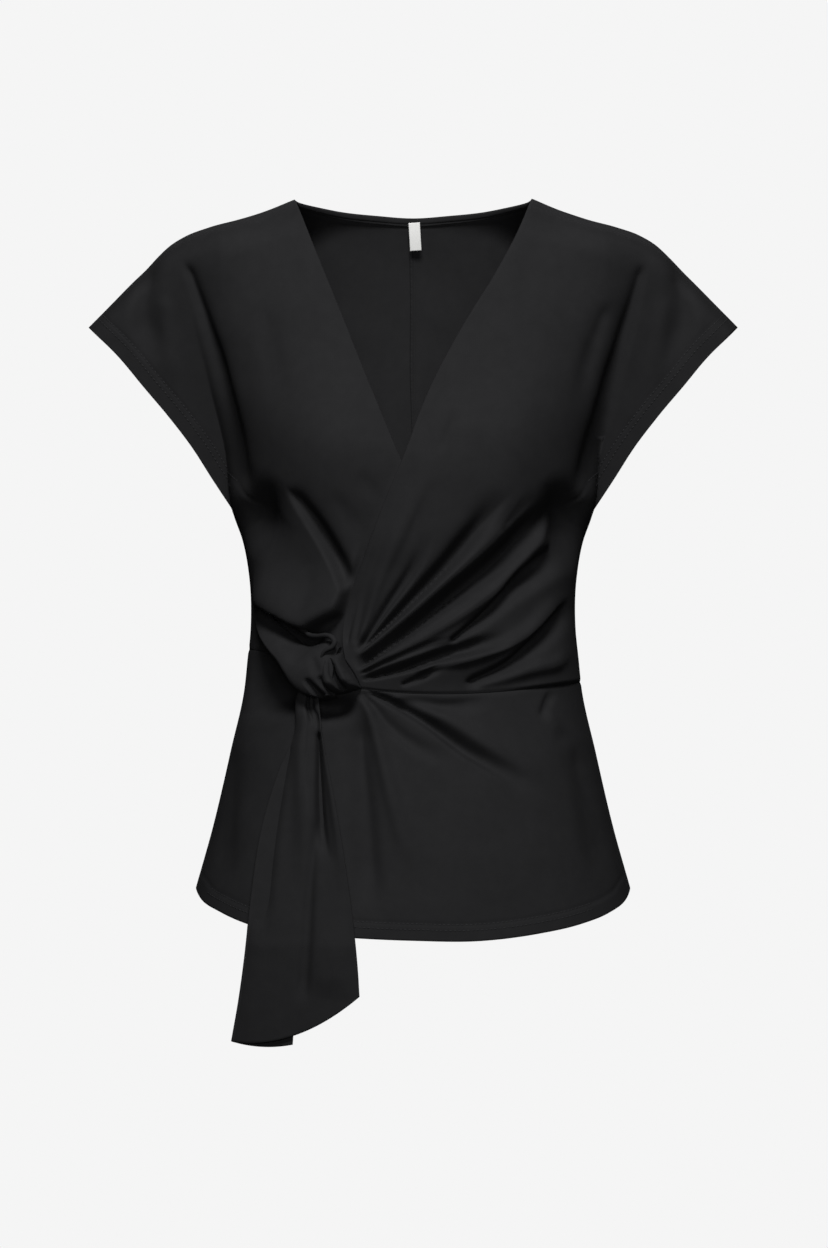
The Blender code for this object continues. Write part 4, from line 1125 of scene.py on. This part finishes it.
# %% Tie band's shape
BandRow = namedtuple("BandRow", "top_x top_z low_x low_z top_out mid_out low_out")
BAND = [
    BandRow(-120.5, -317, -124, -323, 1.5, 2.0, 1.5),
    BandRow(-115, -327, -120.5, -332.5, 1.5, 4.0, 4.5),
    BandRow(-106.5, -336.4, -115.5, -342.5, 1.5, 7.5, 9.0),
    BandRow(-97.5, -344.0, -109.0, -352.0, 2.0, 10.5, 14.0),
    BandRow(-88.5, -350.6, -101.5, -360.5, 3.0, 13.0, 18.0),
    BandRow(-80.9, -354.6, -94.4, -368.0, 5.0, 16.0, 21.0),
    BandRow(-73.8, -355.0, -88.4, -379.0, 7.5, 18.5, 22.0),
    BandRow(-66.5, -352.2, -84.8, -387.0, 10.0, 20.0, 21.0),
    BandRow(-60.0, -349.6, -78.0, -394.6, 12.0, 20.0, 19.0),
    BandRow(-55.5, -350.5, -68.0, -397.4, 12.0, 19.0, 17.0),
    BandRow(-53.0, -355.5, -57.5, -395.6, 10.0, 15.0, 14.0),
]
BAND_CREASES = [
    Crease([(-69.5, -362), (-67.5, -368.7), (-66.0, -375), (-65.9, -383)],
           2.2, 2.2, 2.2, 2.2, -1.0, -1.6, 0.4),
    Crease([(-73.4, -381), (-71.4, -386.6), (-68.6, -391.6), (-65.5, -397.5)],
           1.6, 2.6, 1.0, 1.3, -3.0, -8.0, 0.05),
    Crease([(-65.4, -379), (-61.6, -385.5), (-58.8, -390), (-56.6, -397)],
           1.6, 2.8, 1.0, 1.3, -3.0, -9.0, 0.05),
    Crease([(-102, -347), (-90, -362), (-82, -378)], 3.0, 4.0, 3.0, 4.0, 0.8, 1.0, 0.5),
    Crease([(-96, -349), (-82, -362), (-74, -374)], 3.0, 4.0, 3.0, 4.0, -0.8, -1.0, 0.5),
]
BAND_TURN = 4.0           # how far its rolled edges turn in
BAND_ROLLS, BAND_OPENS = 6, 12       # parts of its length: it lies flat at the side for one of them
ROLL = 0.16               # share of the band's width over which each edge rolls under
CLOSED = 0.02             # and over which its very edge comes down to the cloth behind


def rolled(share, roll):
    """1 over the middle of a band, falling in a quarter round to 0 at both edges."""
    near_edge = np.clip(np.minimum(share, 1 - share) / roll, 0, 1)
    return np.sqrt(1 - (1 - near_edge) ** 2)


def row_by_row(rows, steps):
    """A table read at even steps between its rows, however far apart they lie."""
    return read(np.arange(len(rows), dtype=float), columns(rows), shares(steps) * (len(rows) - 1))


print("the band's edges turn in over this share of its width:", ROLL)

# %% [markdown]
# ## Making the tie band
# Between its two edges the band's height is a parabola through the three heights of its row. Its
# edges then roll under, and the very edge closes down onto the cloth behind, so no gap shows.

# %% Tie band
BAND_WALL = 1.8


def band_surface():
    """The band's outer face and the way it faces."""
    rows = row_by_row(BAND, 110)
    share = shares(44, 0.5)
    top, low, out = rows[:, None, 0:2], rows[:, None, 2:4], rows[:, 4:7]
    flat = (1 - share[:, None]) * top + share[:, None] * low
    edge_top, middle, edge_low = out[:, :1], out[:, 1:2], out[:, 2:]
    stand = (edge_top * (1 - share) * (1 - 2 * share) + middle * 4 * share * (1 - share)
             + edge_low * share * (2 * share - 1))
    points, normal = form(flat, True)
    rolls = ease(np.linspace(0, BAND_ROLLS, len(rows)))[:, None]
    opens = ease(np.linspace(0, BAND_OPENS, len(rows)))[:, None]
    turned = -BAND_TURN * (1 - rolled(share, ROLL)) * rolls
    closed = rolled(share, CLOSED) * opens
    lift = (stand + knot_lift(flat) + crease_height(flat, BAND_CREASES) + turned) * closed + FACE
    return flat, points + normal * lift[..., None], normal


def tie_band():
    flat, face, normal = band_surface()
    return shell("tie_band", face - normal * BAND_WALL, face, flat, black_jersey)


tie_band_piece = tie_band()

# %% [markdown]
# ## The rolled lip
# Above the band, where it meets the knot, the edge of the cloth curls over into a thin rounded
# lip with a dark pocket below it. It is a tube along a smooth line, thin at its ends, which is
# how a rolled edge of jersey looks.

# %% Rolled lip
# along the lip: place, how far its middle stands off the form, and its radius
LipRow = namedtuple("LipRow", "x z out radius")
LIP = [
    LipRow(-91, -340.0, 3.5, 0.3), LipRow(-85, -341.0, 6.0, 1.2), LipRow(-79.3, -343.3, 9.5, 1.7),
    LipRow(-74, -346.2, 12.5, 1.8), LipRow(-67.6, -346.8, 16.0, 1.8), LipRow(-60.5, -345.9, 19.5, 1.9),
    LipRow(-55.8, -347.2, 22.0, 2.0), LipRow(-53.3, -351.0, 23.5, 2.1),
    LipRow(-55.0, -355.4, 24.0, 1.9), LipRow(-59.5, -358.6, 24.0, 1.6),
    LipRow(-62.0, -362.4, 23.5, 1.2), LipRow(-63.4, -367.0, 22.0, 0.4),
]


def tube(name, rows, sides, steps, cloth):
    """A closed tube along rows of (x, z, out, radius), which stands off the form."""
    table = row_by_row(rows, steps)
    points, normal = form(table[:, :2], True)
    middle = points + normal * (table[:, 2:3] + FACE)
    run = np.gradient(middle, axis=0)
    run /= np.linalg.norm(run, axis=-1, keepdims=True)
    aside = np.cross(run, normal)
    aside /= np.linalg.norm(aside, axis=-1, keepdims=True)
    outwards = np.cross(aside, run)
    turn = np.linspace(0, 2 * math.pi, sides, endpoint=False)
    radius = table[:, 3, None, None]
    circle = (np.cos(turn)[None, :, None] * aside[:, None]
              + np.sin(turn)[None, :, None] * outwards[:, None])
    skin = middle[:, None] + radius * circle
    vertex = np.arange((steps + 1) * sides).reshape(steps + 1, sides)
    faces = [[vertex[i, j], vertex[i, (j + 1) % sides], vertex[i + 1, (j + 1) % sides],
              vertex[i + 1, j]] for i in range(steps) for j in range(sides)]
    faces += [list(vertex[0, ::-1]), list(vertex[-1])]
    mesh = bpy.data.meshes.new(name)
    mesh.from_pydata((skin.reshape(-1, 3) * MM).tolist(), [], faces)
    length = np.concatenate([[0], np.cumsum(np.linalg.norm(np.diff(middle, axis=0), axis=-1))])
    layer = mesh.uv_layers.new(name="grain")
    for loop in mesh.loops:
        i, j = divmod(loop.vertex_index, sides)
        layer.data[loop.index].uv = (turn[j] * table[i, 3] * MM, length[i] * MM)
    print(name, "length, mm:", round(float(length[-1])))
    return put(name, mesh, cloth)


lip_piece = tube("tie_band_lip", LIP, sides=14, steps=90, cloth=black_jersey)

# %% [markdown]
# ## The knot
# The tie passes once round the gathered cloth. What shows is one short wrap with a pleat in it,
# pinched at its top and at its lower corner, with a crisp rolled edge over the gathers. It is a
# small patch between two edge lines, crowned, with its edges turned down.

# %% Knot
KNOT_LEFT = [(-57.5, -359.6), (-61.0, -363.5), (-63.6, -370), (-64.4, -378), (-63.6, -386),
             (-58.0, -393.6)]
KNOT_RIGHT = [(-51.8, -360.2), (-49.6, -366.4), (-47.0, -372.0), (-44.2, -377.4),
              (-41.4, -382.4), (-38.2, -388.4)]
KNOT_CREASES = [
    Crease([(-57.6, -364), (-56.0, -371), (-55.2, -378), (-52.6, -385), (-49.2, -391)],
           1.0, 1.8, 0.8, 1.2, -2.5, -8.5, 0.05),
    Crease([(-52.8, -364), (-50.2, -372), (-46.5, -380), (-43.2, -387)],
           2.4, 3.0, 2.4, 3.0, 1.0, 1.6, 0.3),
    Crease([(-46.8, -374.5), (-44.6, -380.5), (-41.8, -386.4)], 1.0, 1.0, 1.0, 1.0, -0.8, -1.4, 0.3),
    Crease([(-61.5, -368), (-61.2, -376), (-59.5, -384), (-55.0, -391.0)],
           1.6, 2.4, 1.6, 2.4, 0.8, 1.6, 0.3),
]
KNOT_EDGE, KNOT_CROWN = 15.0, 11.0         # height at its edges, and how much more in its middle
KNOT_OVER, KNOT_SIDES = 0.30, 0.26         # shares over which it rounds down: ends and sides
KNOT_START, KNOT_LEAN = 0.35, 0.15         # share of the height at its ends, and its lean
KNOT_BOW, KNOT_WALL = 0.8, 3.0


def knot():
    s, t = shares(84), shares(70, 0.4)
    left, right = along(KNOT_LEFT, s), along(KNOT_RIGHT, s)
    flat = left[:, None] * (1 - t)[None, :, None] + right[:, None] * t[None, :, None]
    bow = np.sin(math.pi * t)[None, :] * s[:, None] ** 3
    flat[..., 1] -= KNOT_BOW * bow
    points, normal = form(flat, True)
    over = rolled(s, KNOT_OVER)[:, None]
    crest = rolled(t, KNOT_SIDES)[None, :]
    lean = 1 - KNOT_LEAN + KNOT_LEAN * t[None, :]
    height = KNOT_EDGE * (KNOT_START + (1 - KNOT_START) * over) + KNOT_CROWN * over * crest * lean
    height = height + crease_height(flat, KNOT_CREASES) * over * ease(crest / 0.6)
    height = height * rolled(s, CLOSED)[:, None] * rolled(t, CLOSED)[None, :]
    face = points + normal * (height + FACE)[..., None]
    return shell("knot", face - normal * KNOT_WALL, face, flat, black_jersey)


knot_piece = knot()

# %% [markdown]
# ## The hanging tail
# Below the knot the tie's end hangs free. It is a long strip, gathered small at the knot, and
# folded back under itself along its left edge, so a darker layer shows below its cut end. One
# path across the strip makes both layers: first the hidden one, then round the fold, then the
# front one with its lengthwise folds.

# %% Tail's shape
TailRow = namedtuple("TailRow", "left_x left_z right_x right_z out")
TAIL = [
    TailRow(-86, -383, -73.5, -383, 12.0), TailRow(-91, -397, -73, -397, 11.5),
    TailRow(-92, -423, -70.5, -423, 10), TailRow(-105, -454, -65, -451, 8.5),
    TailRow(-118, -499, -57, -492, 8.0), TailRow(-125, -546, -50.5, -533, 8.0),
    TailRow(-129.5, -590, -45.5, -570, 8.0), TailRow(-134.5, -627, -42.5, -600, 7.5),
    TailRow(-140.5, -661, -41, -624, 7.0),
]
TAIL_CREASES = [
    # the deep fold left of the flange, sharp at its top
    Crease([(-73.0, -420), (-72.4, -440), (-71.6, -466), (-69.3, -499), (-65.0, -524)],
           1.4, 2.6, 1.8, 4.0, -7.5, -8.0, 0.35),
    # the crest of the front, and the flange beside it
    Crease([(-82, -400), (-86, -428), (-84, -489), (-83, -560)], 4.0, 9.0, 4.0, 9.0, 3.0, 5.0, 0.5),
    Crease([(-72.4, -404), (-69.2, -430), (-62.0, -470), (-56.0, -510), (-51.5, -548)],
           1.6, 5.0, 1.6, 5.0, 2.0, 4.5, 0.45),
    # a soft line down the middle
    Crease([(-74, -486), (-78.4, -534), (-81.3, -588), (-84.6, -632)],
           3.0, 3.0, 5.0, 4.0, -2.0, -3.4, 0.15),
    Crease([(-64, -560), (-64, -595), (-66, -628)], 12.0, 14.0, 12.0, 14.0, 2.0, 2.6, 0.3),
    Crease([(-96, -430), (-111, -512), (-119, -589)], 3.0, 6.0, 3.0, 6.0, -4.2, -5.0, 0.3),
    # the small folds where it leaves the knot
    Crease([(-80.0, -388), (-81.6, -402), (-80.4, -407), (-76, -416)],
           1.0, 1.4, 1.0, 1.4, -3.5, -4.5, 0.3),
    Crease([(-77.0, -390), (-77.8, -403), (-74.6, -410), (-73, -420)],
           1.0, 1.4, 1.0, 1.4, -3.0, -3.5, 0.3),
]
TAIL_SAG = 12.0           # how far the tail's cut end bows down in the middle
TAIL_UNDER = 0.48         # share of the width that the folded-under layer takes
TAIL_GAP = 3.6            # from the front layer to the layer behind it
TAIL_FREE_Z = -585.0      # below this the tail hangs straight
TAIL_DROP = 7.0           # how far the hidden layer's end hangs below the front's
TAIL_ROUND, TAIL_ROUND_WIDE = 4.5, 0.09    # how far it rounds back at the fold, over which share
TAIL_OPEN = 0.3           # share of its length by which it has opened out from the knot
tail_widths = [math.hypot(row.right_x - row.left_x, row.right_z - row.left_z) for row in TAIL]
print("the tail's width at the knot and at its end, mm:", round(tail_widths[0]), round(tail_widths[-1]))

# %% [markdown]
# ## Making the tail
# The steps across the strip come in three runs: the hidden layer, the turn and the front layer.
# `share` is how far across the tail each step lies, `layer` how far behind the front one, and
# `is_over` tells the two layers apart, because only the front one has folds.

# %% Tail
UNDER_STEPS, TURN_STEPS, OVER_STEPS, DOWN_STEPS = 26, 7, 80, 130
UNDER_END, TURN_SHARE, OVER_START = 0.02, 0.012, 0.015     # where the runs meet at the fold


def tie_tail():
    table = row_by_row(TAIL, DOWN_STEPS)
    down = shares(DOWN_STEPS)
    under = np.linspace(TAIL_UNDER, UNDER_END, UNDER_STEPS)
    turn = np.linspace(0, math.pi, TURN_STEPS + 2)[1:-1]
    over = shares(OVER_STEPS, 0.3)[1:] * (1 - OVER_START) + OVER_START
    share = np.concatenate([under, TURN_SHARE * (1 - np.sin(turn)), over])
    layer = np.concatenate([np.full(UNDER_STEPS, -TAIL_GAP),
                            -TAIL_GAP / 2 * (1 + np.cos(turn)), 0 * over])
    is_over = np.concatenate([np.zeros(UNDER_STEPS), ease(np.linspace(0, 1, TURN_STEPS)),
                              np.ones(OVER_STEPS)])
    path = np.zeros((len(table), len(share), 3))
    flat = np.zeros((len(table), len(share), 2))
    for i, (left_x, left_z, right_x, right_z, out) in enumerate(table):
        x = left_x + (right_x - left_x) * share
        sag = TAIL_SAG * 4 * share * (1 - share) * down[i] ** 4
        drop = TAIL_DROP * (1 - is_over) * share / TAIL_UNDER * ease((down[i] - 0.5) / 0.5)
        z = left_z + (right_z - left_z) * share - sag - drop
        flat[i] = np.stack([x, z], axis=-1)
        middle = (left_x + right_x) / 2
        level = np.maximum(z, TAIL_FREE_Z)
        here = depth(x, level, True)
        carried = np.maximum(here, (here + depth(np.full_like(x, middle), level, True)) / 2)
        opened = is_over * ease(down[i] / TAIL_OPEN)
        rounding = -TAIL_ROUND * np.exp(-share / TAIL_ROUND_WIDE) * opened
        path[i] = np.stack([x, -(carried + out + layer + rounding), z], axis=-1)
    path[..., 1] -= crease_height(flat, TAIL_CREASES) * is_over
    run = np.gradient(path, axis=1)
    offset = np.stack([-run[..., 1], run[..., 0], 0 * run[..., 0]], axis=-1)
    offset /= np.linalg.norm(offset, axis=-1, keepdims=True)
    length = np.cumsum(np.linalg.norm(run, axis=-1), axis=1)
    grain = np.stack([length, flat[..., 1]], axis=-1)
    return shell("tie_tail", path - offset * WALL / 2, path + offset * WALL / 2, grain, black_jersey)


tie_tail_piece = tie_tail()

# %% [markdown]
# ## Neck label
# A short loop of white tape hangs from the middle of the binding. It is bare, slightly bowed and
# a little askew, as a sewn-in tape hangs.

# %% Neck label
LABEL_WIDE, LABEL_HIGH, LABEL_THICK = 9.4, 22.5, 0.9
LABEL_X, LABEL_TOP, LABEL_SLANT = 0.9, -10.0, 0.22
LABEL_SEAM, LABEL_OFF = 2.5, 1.2           # above its top, and from the back's form
LABEL_DRIFT, LABEL_TILT = 1.4, 0.3         # how far it hangs askew
LABEL_BOW, LABEL_CURL = 0.5, 0.35          # down its length, and across it
FOLD_THIN, FOLD_HIGH = 0.5, 0.04           # it is pressed thinner at its folded end


def neck_label():
    down, across = shares(26), shares(12)
    x = LABEL_X + LABEL_WIDE * (across - 0.5)[None] + LABEL_DRIFT * down[:, None]
    z = LABEL_TOP - LABEL_HIGH * down[:, None] + LABEL_TILT * (2 * across - 1)[None]
    start = depth(LABEL_X, LABEL_TOP + LABEL_SEAM, False)
    bow = LABEL_BOW * np.sin(math.pi * down)[:, None] + LABEL_CURL * (2 * across - 1)[None] ** 2
    y = start - LABEL_THICK - LABEL_OFF + LABEL_SLANT * LABEL_HIGH * down[:, None] - bow
    near = np.stack([x, y + 0 * z, z], axis=-1)
    fold = FOLD_THIN * np.exp(-(((down - 1) / FOLD_HIGH) ** 2))[:, None, None]
    far = near + np.array([0, 1, 0]) * (LABEL_THICK - fold)
    return shell("neck_label", near, far, near[..., ::2], white_tape)


label_piece = neck_label()

# %% [markdown]
# ## Twin-needle stitching
# Two rows of stitches hold the turned hem and cuffs, 4.5 mm apart. Each stitch is 2.6 mm long,
# with its ends pulled into the cloth. One small tube is worked out for each, and each row is one
# mesh. They follow the same surface function as the panel that they are sewn on.

# %% One stitch
STITCH, STITCH_SPACE, STITCH_RADIUS = 2.6, 0.9, 0.32
StitchRing = namedtuple("StitchRing", "at swell rise")
STITCH_RINGS = columns([
    StitchRing(0.0, 0.45, -0.35), StitchRing(0.18, 0.95, 0.1), StitchRing(0.5, 1.0, 0.22),
    StitchRing(0.82, 0.95, 0.1), StitchRing(1.0, 0.45, -0.35),
])
STITCH_SIDES = 6


def stitch_faces(rings, sides):
    """The faces of one closed tube, by the numbers of its points."""
    faces = []
    for i in range(rings - 1):
        for j in range(sides):
            k = (j + 1) % sides
            faces.append([i * sides + j, i * sides + k, (i + 1) * sides + k, (i + 1) * sides + j])
    first, last = list(range(sides))[::-1], [(rings - 1) * sides + j for j in range(sides)]
    return faces + [first, last]


print("faces of one stitch:", len(stitch_faces(len(STITCH_RINGS), STITCH_SIDES)))

# %% [markdown]
# ## A row of stitches
# The line of a row is measured on the finished surface, so that the stitches are evenly long
# over every fold. Each one starts and ends a little inside the cloth.

# %% Row of stitches
def inset(line, reach, flip):
    """A flat line moved sideways by a reach; flip picks the side."""
    run = np.gradient(line, axis=0)
    run /= np.linalg.norm(run, axis=-1, keepdims=True)
    return line + flip * reach * np.stack([run[:, 1], -run[:, 0]], axis=-1)


def stitch_row(name, flat, front, height):
    """Stitches along a flat line on a panel, as one mesh."""
    fine = along(flat, shares(900))
    points, normal = form(fine, front)
    face = points + normal * (height(fine, np.abs(points[:, 1])) + FACE)[:, None]
    length = np.concatenate([[0], np.cumsum(np.linalg.norm(np.diff(face, axis=0), axis=-1))])
    pitch = STITCH + STITCH_SPACE
    count = int(length[-1] // pitch)
    starts = (length[-1] - count * pitch) / 2 + np.arange(count) * pitch
    ring_at, swell, rise = STITCH_RINGS.T
    turn = np.linspace(0, 2 * math.pi, STITCH_SIDES, endpoint=False)
    where = starts[:, None] + STITCH * ring_at
    middle = np.stack([np.interp(where, length, face[:, k]) for k in range(3)], axis=-1)
    facing = np.stack([np.interp(where, length, normal[:, k]) for k in range(3)], axis=-1)
    middle += facing * rise[None, :, None]
    run = middle[:, -1:] - middle[:, :1]
    run = run / np.linalg.norm(run, axis=-1, keepdims=True)
    aside = np.cross(run, facing)
    circle = (np.cos(turn)[:, None] * aside[:, :, None] + np.sin(turn)[:, None] * facing[:, :, None])
    skin = middle[:, :, None] + STITCH_RADIUS * swell[None, :, None, None] * circle
    one, size = stitch_faces(len(ring_at), STITCH_SIDES), len(ring_at) * STITCH_SIDES
    faces = [[corner + n * size for corner in corners] for n in range(count) for corners in one]
    mesh = bpy.data.meshes.new(name)
    mesh.from_pydata((skin.reshape(-1, 3) * MM).tolist(), [], faces)
    print(name, "stitches:", count)
    return put(name, mesh, black_thread)


print("from one stitch to the next, mm:", STITCH + STITCH_SPACE)

# %% [markdown]
# ## Twin rows on hem and cuffs
# One function sews both rows along an edge, and every hem and cuff is one call of it. The right
# side of the top uses the left side's lines, mirrored.

# %% Stitches
ROW_SPACE = 4.5
SEWN_STRETCH = np.s_[2:-8]      # the rows stop just short of the edge's two ends


def rows_of(name, line, flip, deep, front, height, mirror=False):
    """The twin rows along one edge."""
    pair = []
    for number, reach in enumerate((deep, deep - ROW_SPACE)):
        flat = inset(along(line, shares(80)), reach, flip)[SEWN_STRETCH]
        if mirror:
            flat = flat * np.array([-1, 1])
        pair.append(stitch_row(f"{name}_{number + 1}", flat, front, height))
    return pair


front_stitches = rows_of("hem_stitches_front", HEM, -1, HEM_DEEP, True, skirt_height)
left_cuff_stitches = rows_of("cuff_stitches_front_left", CUFF, 1, CUFF_DEEP, True, over_wrap_height)
right_cuff_stitches = rows_of("cuff_stitches_front_right", CUFF, 1, CUFF_DEEP, True,
                              under_wrap_height, mirror=True)
back_stitches = {}
for side in ("left", "right"):
    flip_over = side == "right"
    back_stitches[side] = (
        rows_of(f"hem_stitches_back_{side}", BACK_HEM, -1, HEM_DEEP, False, back_height, flip_over)
        + rows_of(f"cuff_stitches_back_{side}", CUFF, 1, CUFF_DEEP, False, back_height, flip_over))

# %% [markdown]
# ## Ride and CAD nodes
# The top is one body, so every piece rides on `root`, and each shell takes the place of its CAD
# node.

# %% Put every piece on root and hide the CAD nodes that shells replace
STITCHES = (front_stitches + left_cuff_stitches + right_cuff_stitches
            + back_stitches["left"] + back_stitches["right"])
REPLACED = {
    front_left_piece: "front_left", front_right_piece: "front_right",
    peplum_front_piece: "peplum_front", back_left_piece: "back_left",
    back_right_piece: "back_right", binding_piece: "back_neck_binding",
    tie_band_piece: "tie_band", knot_piece: "knot", tie_tail_piece: "tie_tail",
    label_piece: "neck_label",
}
for piece in [*REPLACED, lip_piece, allowance_piece, *STITCHES]:
    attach(piece, "root")
for piece, node in REPLACED.items():
    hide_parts(node)
print("pieces:", len(REPLACED) + 2 + len(STITCHES), "of which replace a CAD node:", len(REPLACED))

# %% [markdown]
# ## Cloth sizes
# A cutter lays each pattern piece flat on the cloth. The table gives the width and length of the
# rectangle that each visible piece is cut from and its own flat area, in metres, so that the
# worn area can be checked against it: pleats and folds must not stretch the cloth. Narrow strips
# and stitches count with the piece that they are sewn on.

# %% Sheets
Cut = namedtuple("Cut", "piece width length area held hangs_from sewn_on")
CUTS = [
    Cut(front_left_piece, 0.350, 0.420, 0.100, "gathered", ["back_left"], left_cuff_stitches),
    Cut(front_right_piece, 0.356, 0.420, 0.091, "hung", ["back_right"], right_cuff_stitches),
    Cut(peplum_front_piece, 0.460, 0.235, 0.083, "hung", ["front_left"], front_stitches),
    Cut(back_left_piece, 0.286, 0.580, 0.117, "hung", [],
        [binding_piece, *back_stitches["left"]]),
    Cut(back_right_piece, 0.286, 0.580, 0.117, "hung", [],
        [allowance_piece, *back_stitches["right"]]),
    Cut(tie_band_piece, 0.060, 0.110, 0.0062, "gathered", ["front_right"], [lip_piece]),
    Cut(knot_piece, 0.050, 0.055, 0.0027, "folded", ["front_left"], []),
    Cut(tie_tail_piece, 0.163, 0.280, 0.028, "folded", ["knot"], []),
    Cut(label_piece, 0.010, 0.023, 0.00022, "hung", ["back_neck_binding"], []),
]
for cut in CUTS:
    worn = sum(face.area for face in cut.piece.data.polygons) / 2
    print(cut.piece.name, "worn area against cut area:", round(worn / cut.area, 2))

# %% [markdown]
# ## Floor
# A plain pale floor lies below, just outside the picture. It is background paper, so matt, and
# it glows a little, as a lit studio floor seems to. It throws no light back on the cloth.

# %% Floor
FLOOR_Z, FLOOR_RADIUS, FLOOR_SIDES = -1.3, 2.5, 96


def pale_floor():
    mesh = bpy.data.meshes.new("pale_floor")
    turn = np.linspace(0, 2 * math.pi, FLOOR_SIDES, endpoint=False)
    points = [(FLOOR_RADIUS * math.cos(a), FLOOR_RADIUS * math.sin(a), FLOOR_Z) for a in turn]
    mesh.from_pydata(points, [], [list(range(len(points)))])
    material = bpy.data.materials.new("pale_floor")
    material.use_nodes = True
    shader = material.node_tree.nodes["Principled BSDF"]
    shader.inputs["Base Color"].default_value = linear("E6E6E6")
    shader.inputs["Roughness"].default_value = 0.8
    shader.inputs["Emission Color"].default_value = linear("F2F2F2")
    shader.inputs["Emission Strength"].default_value = 0.7
    mesh.materials.append(material)
    floor = bpy.data.objects.new("pale_floor", mesh)
    bpy.context.scene.collection.objects.link(floor)
    floor.visible_diffuse = False
    floor.visible_glossy = False
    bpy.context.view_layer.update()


pale_floor()

# %% [markdown]
# ## Lamps
# The light is that of a studio: a soft box high in front, so that every fold is lit from above, a
# weaker one level with the chest, and the same pair behind, so that the back is lit as well. The
# two behind give no gloss, because a gloss that grazes the shoulders would edge them with white.

# %% Lamps
LAMPS_AIM = Vector((0.0, 0.0, -0.25))
Lamp = namedtuple("Lamp", "name y z wide high watts glossy")
LAMPS = [
    Lamp("key", -1.6, 1.25, 0.7, 0.5, 46, True),
    Lamp("front_fill", -2.0, -0.2, 0.6, 0.6, 10, True),
    Lamp("back_key", 1.6, 1.25, 0.7, 0.5, 46, False),
    Lamp("back_fill", 2.0, -0.2, 0.6, 0.6, 10, False),
]
for row in LAMPS:
    lamp = bpy.data.lights.new(row.name, "AREA")
    lamp.shape = "RECTANGLE"
    lamp.size, lamp.size_y = row.wide, row.high
    lamp.energy = row.watts
    holder = bpy.data.objects.new(row.name, lamp)
    holder.location = (0.0, row.y, row.z)
    holder.rotation_euler = (LAMPS_AIM - holder.location).to_track_quat("-Z", "Y").to_euler()
    holder.visible_camera = False
    holder.visible_glossy = row.glossy
    bpy.context.scene.collection.objects.link(holder)
    print(row.name, "watts:", row.watts)

# %% [markdown]
# ## Room
# The room is a pale backdrop. It is brighter to the camera than to the cloth, as a backdrop that
# has its own lamps is, so the cloth keeps its deep black. A Light Path node tells the two apart.
# The Standard view keeps the hex colours as they were picked.

# %% Room
BACKDROP, ROOM_STRENGTH = "F5F5F5", 0.012


def pale_room():
    world = bpy.data.worlds.new("pale_room")
    bpy.context.scene.world = world
    world.use_nodes = True
    tree = world.node_tree
    tree.nodes.clear()
    rays = add(tree, "ShaderNodeLightPath")
    seen = add(tree, "ShaderNodeBackground", inputs={"Color": linear(BACKDROP), "Strength": 1.0})
    felt = add(tree, "ShaderNodeBackground", inputs={
        "Color": linear(BACKDROP), "Strength": ROOM_STRENGTH})
    mixed = add(tree, "ShaderNodeMixShader", inputs={
        0: rays.outputs["Is Camera Ray"], 1: felt.outputs[0], 2: seen.outputs[0]})
    add(tree, "ShaderNodeOutputWorld", inputs={"Surface": mixed.outputs[0]})


pale_room()
bpy.context.scene.view_settings.view_transform = "Standard"
print("room strength, seen by the cloth:", ROOM_STRENGTH)

# %% [markdown]
# ## Camera
# The view is level with the middle of the top, from some way off, as in a catalogue. The view
# angle is worked out from the real height that the picture takes in where the top hangs.

# %% Camera
PICTURE_HIGH, PICTURE_SCALE = 1248, 0.0008     # pixels, and metres to a pixel at the middle
CAMERA_FAR = 3.0
CAMERA_X, CAMERA_Z = 0.0008, -0.3376


def camera():
    lens = bpy.data.cameras.new("camera")
    lens.sensor_fit = "VERTICAL"
    lens.angle_y = 2 * math.atan(PICTURE_HIGH * PICTURE_SCALE / 2 / CAMERA_FAR)
    holder = bpy.data.objects.new("camera", lens)
    holder.location = (CAMERA_X, -CAMERA_FAR, CAMERA_Z)
    holder.rotation_euler = (math.pi / 2, 0, 0)
    bpy.context.scene.collection.objects.link(holder)
    bpy.context.scene.camera = holder
    print("camera view angle, degrees:", round(math.degrees(lens.angle_y), 1))


camera()
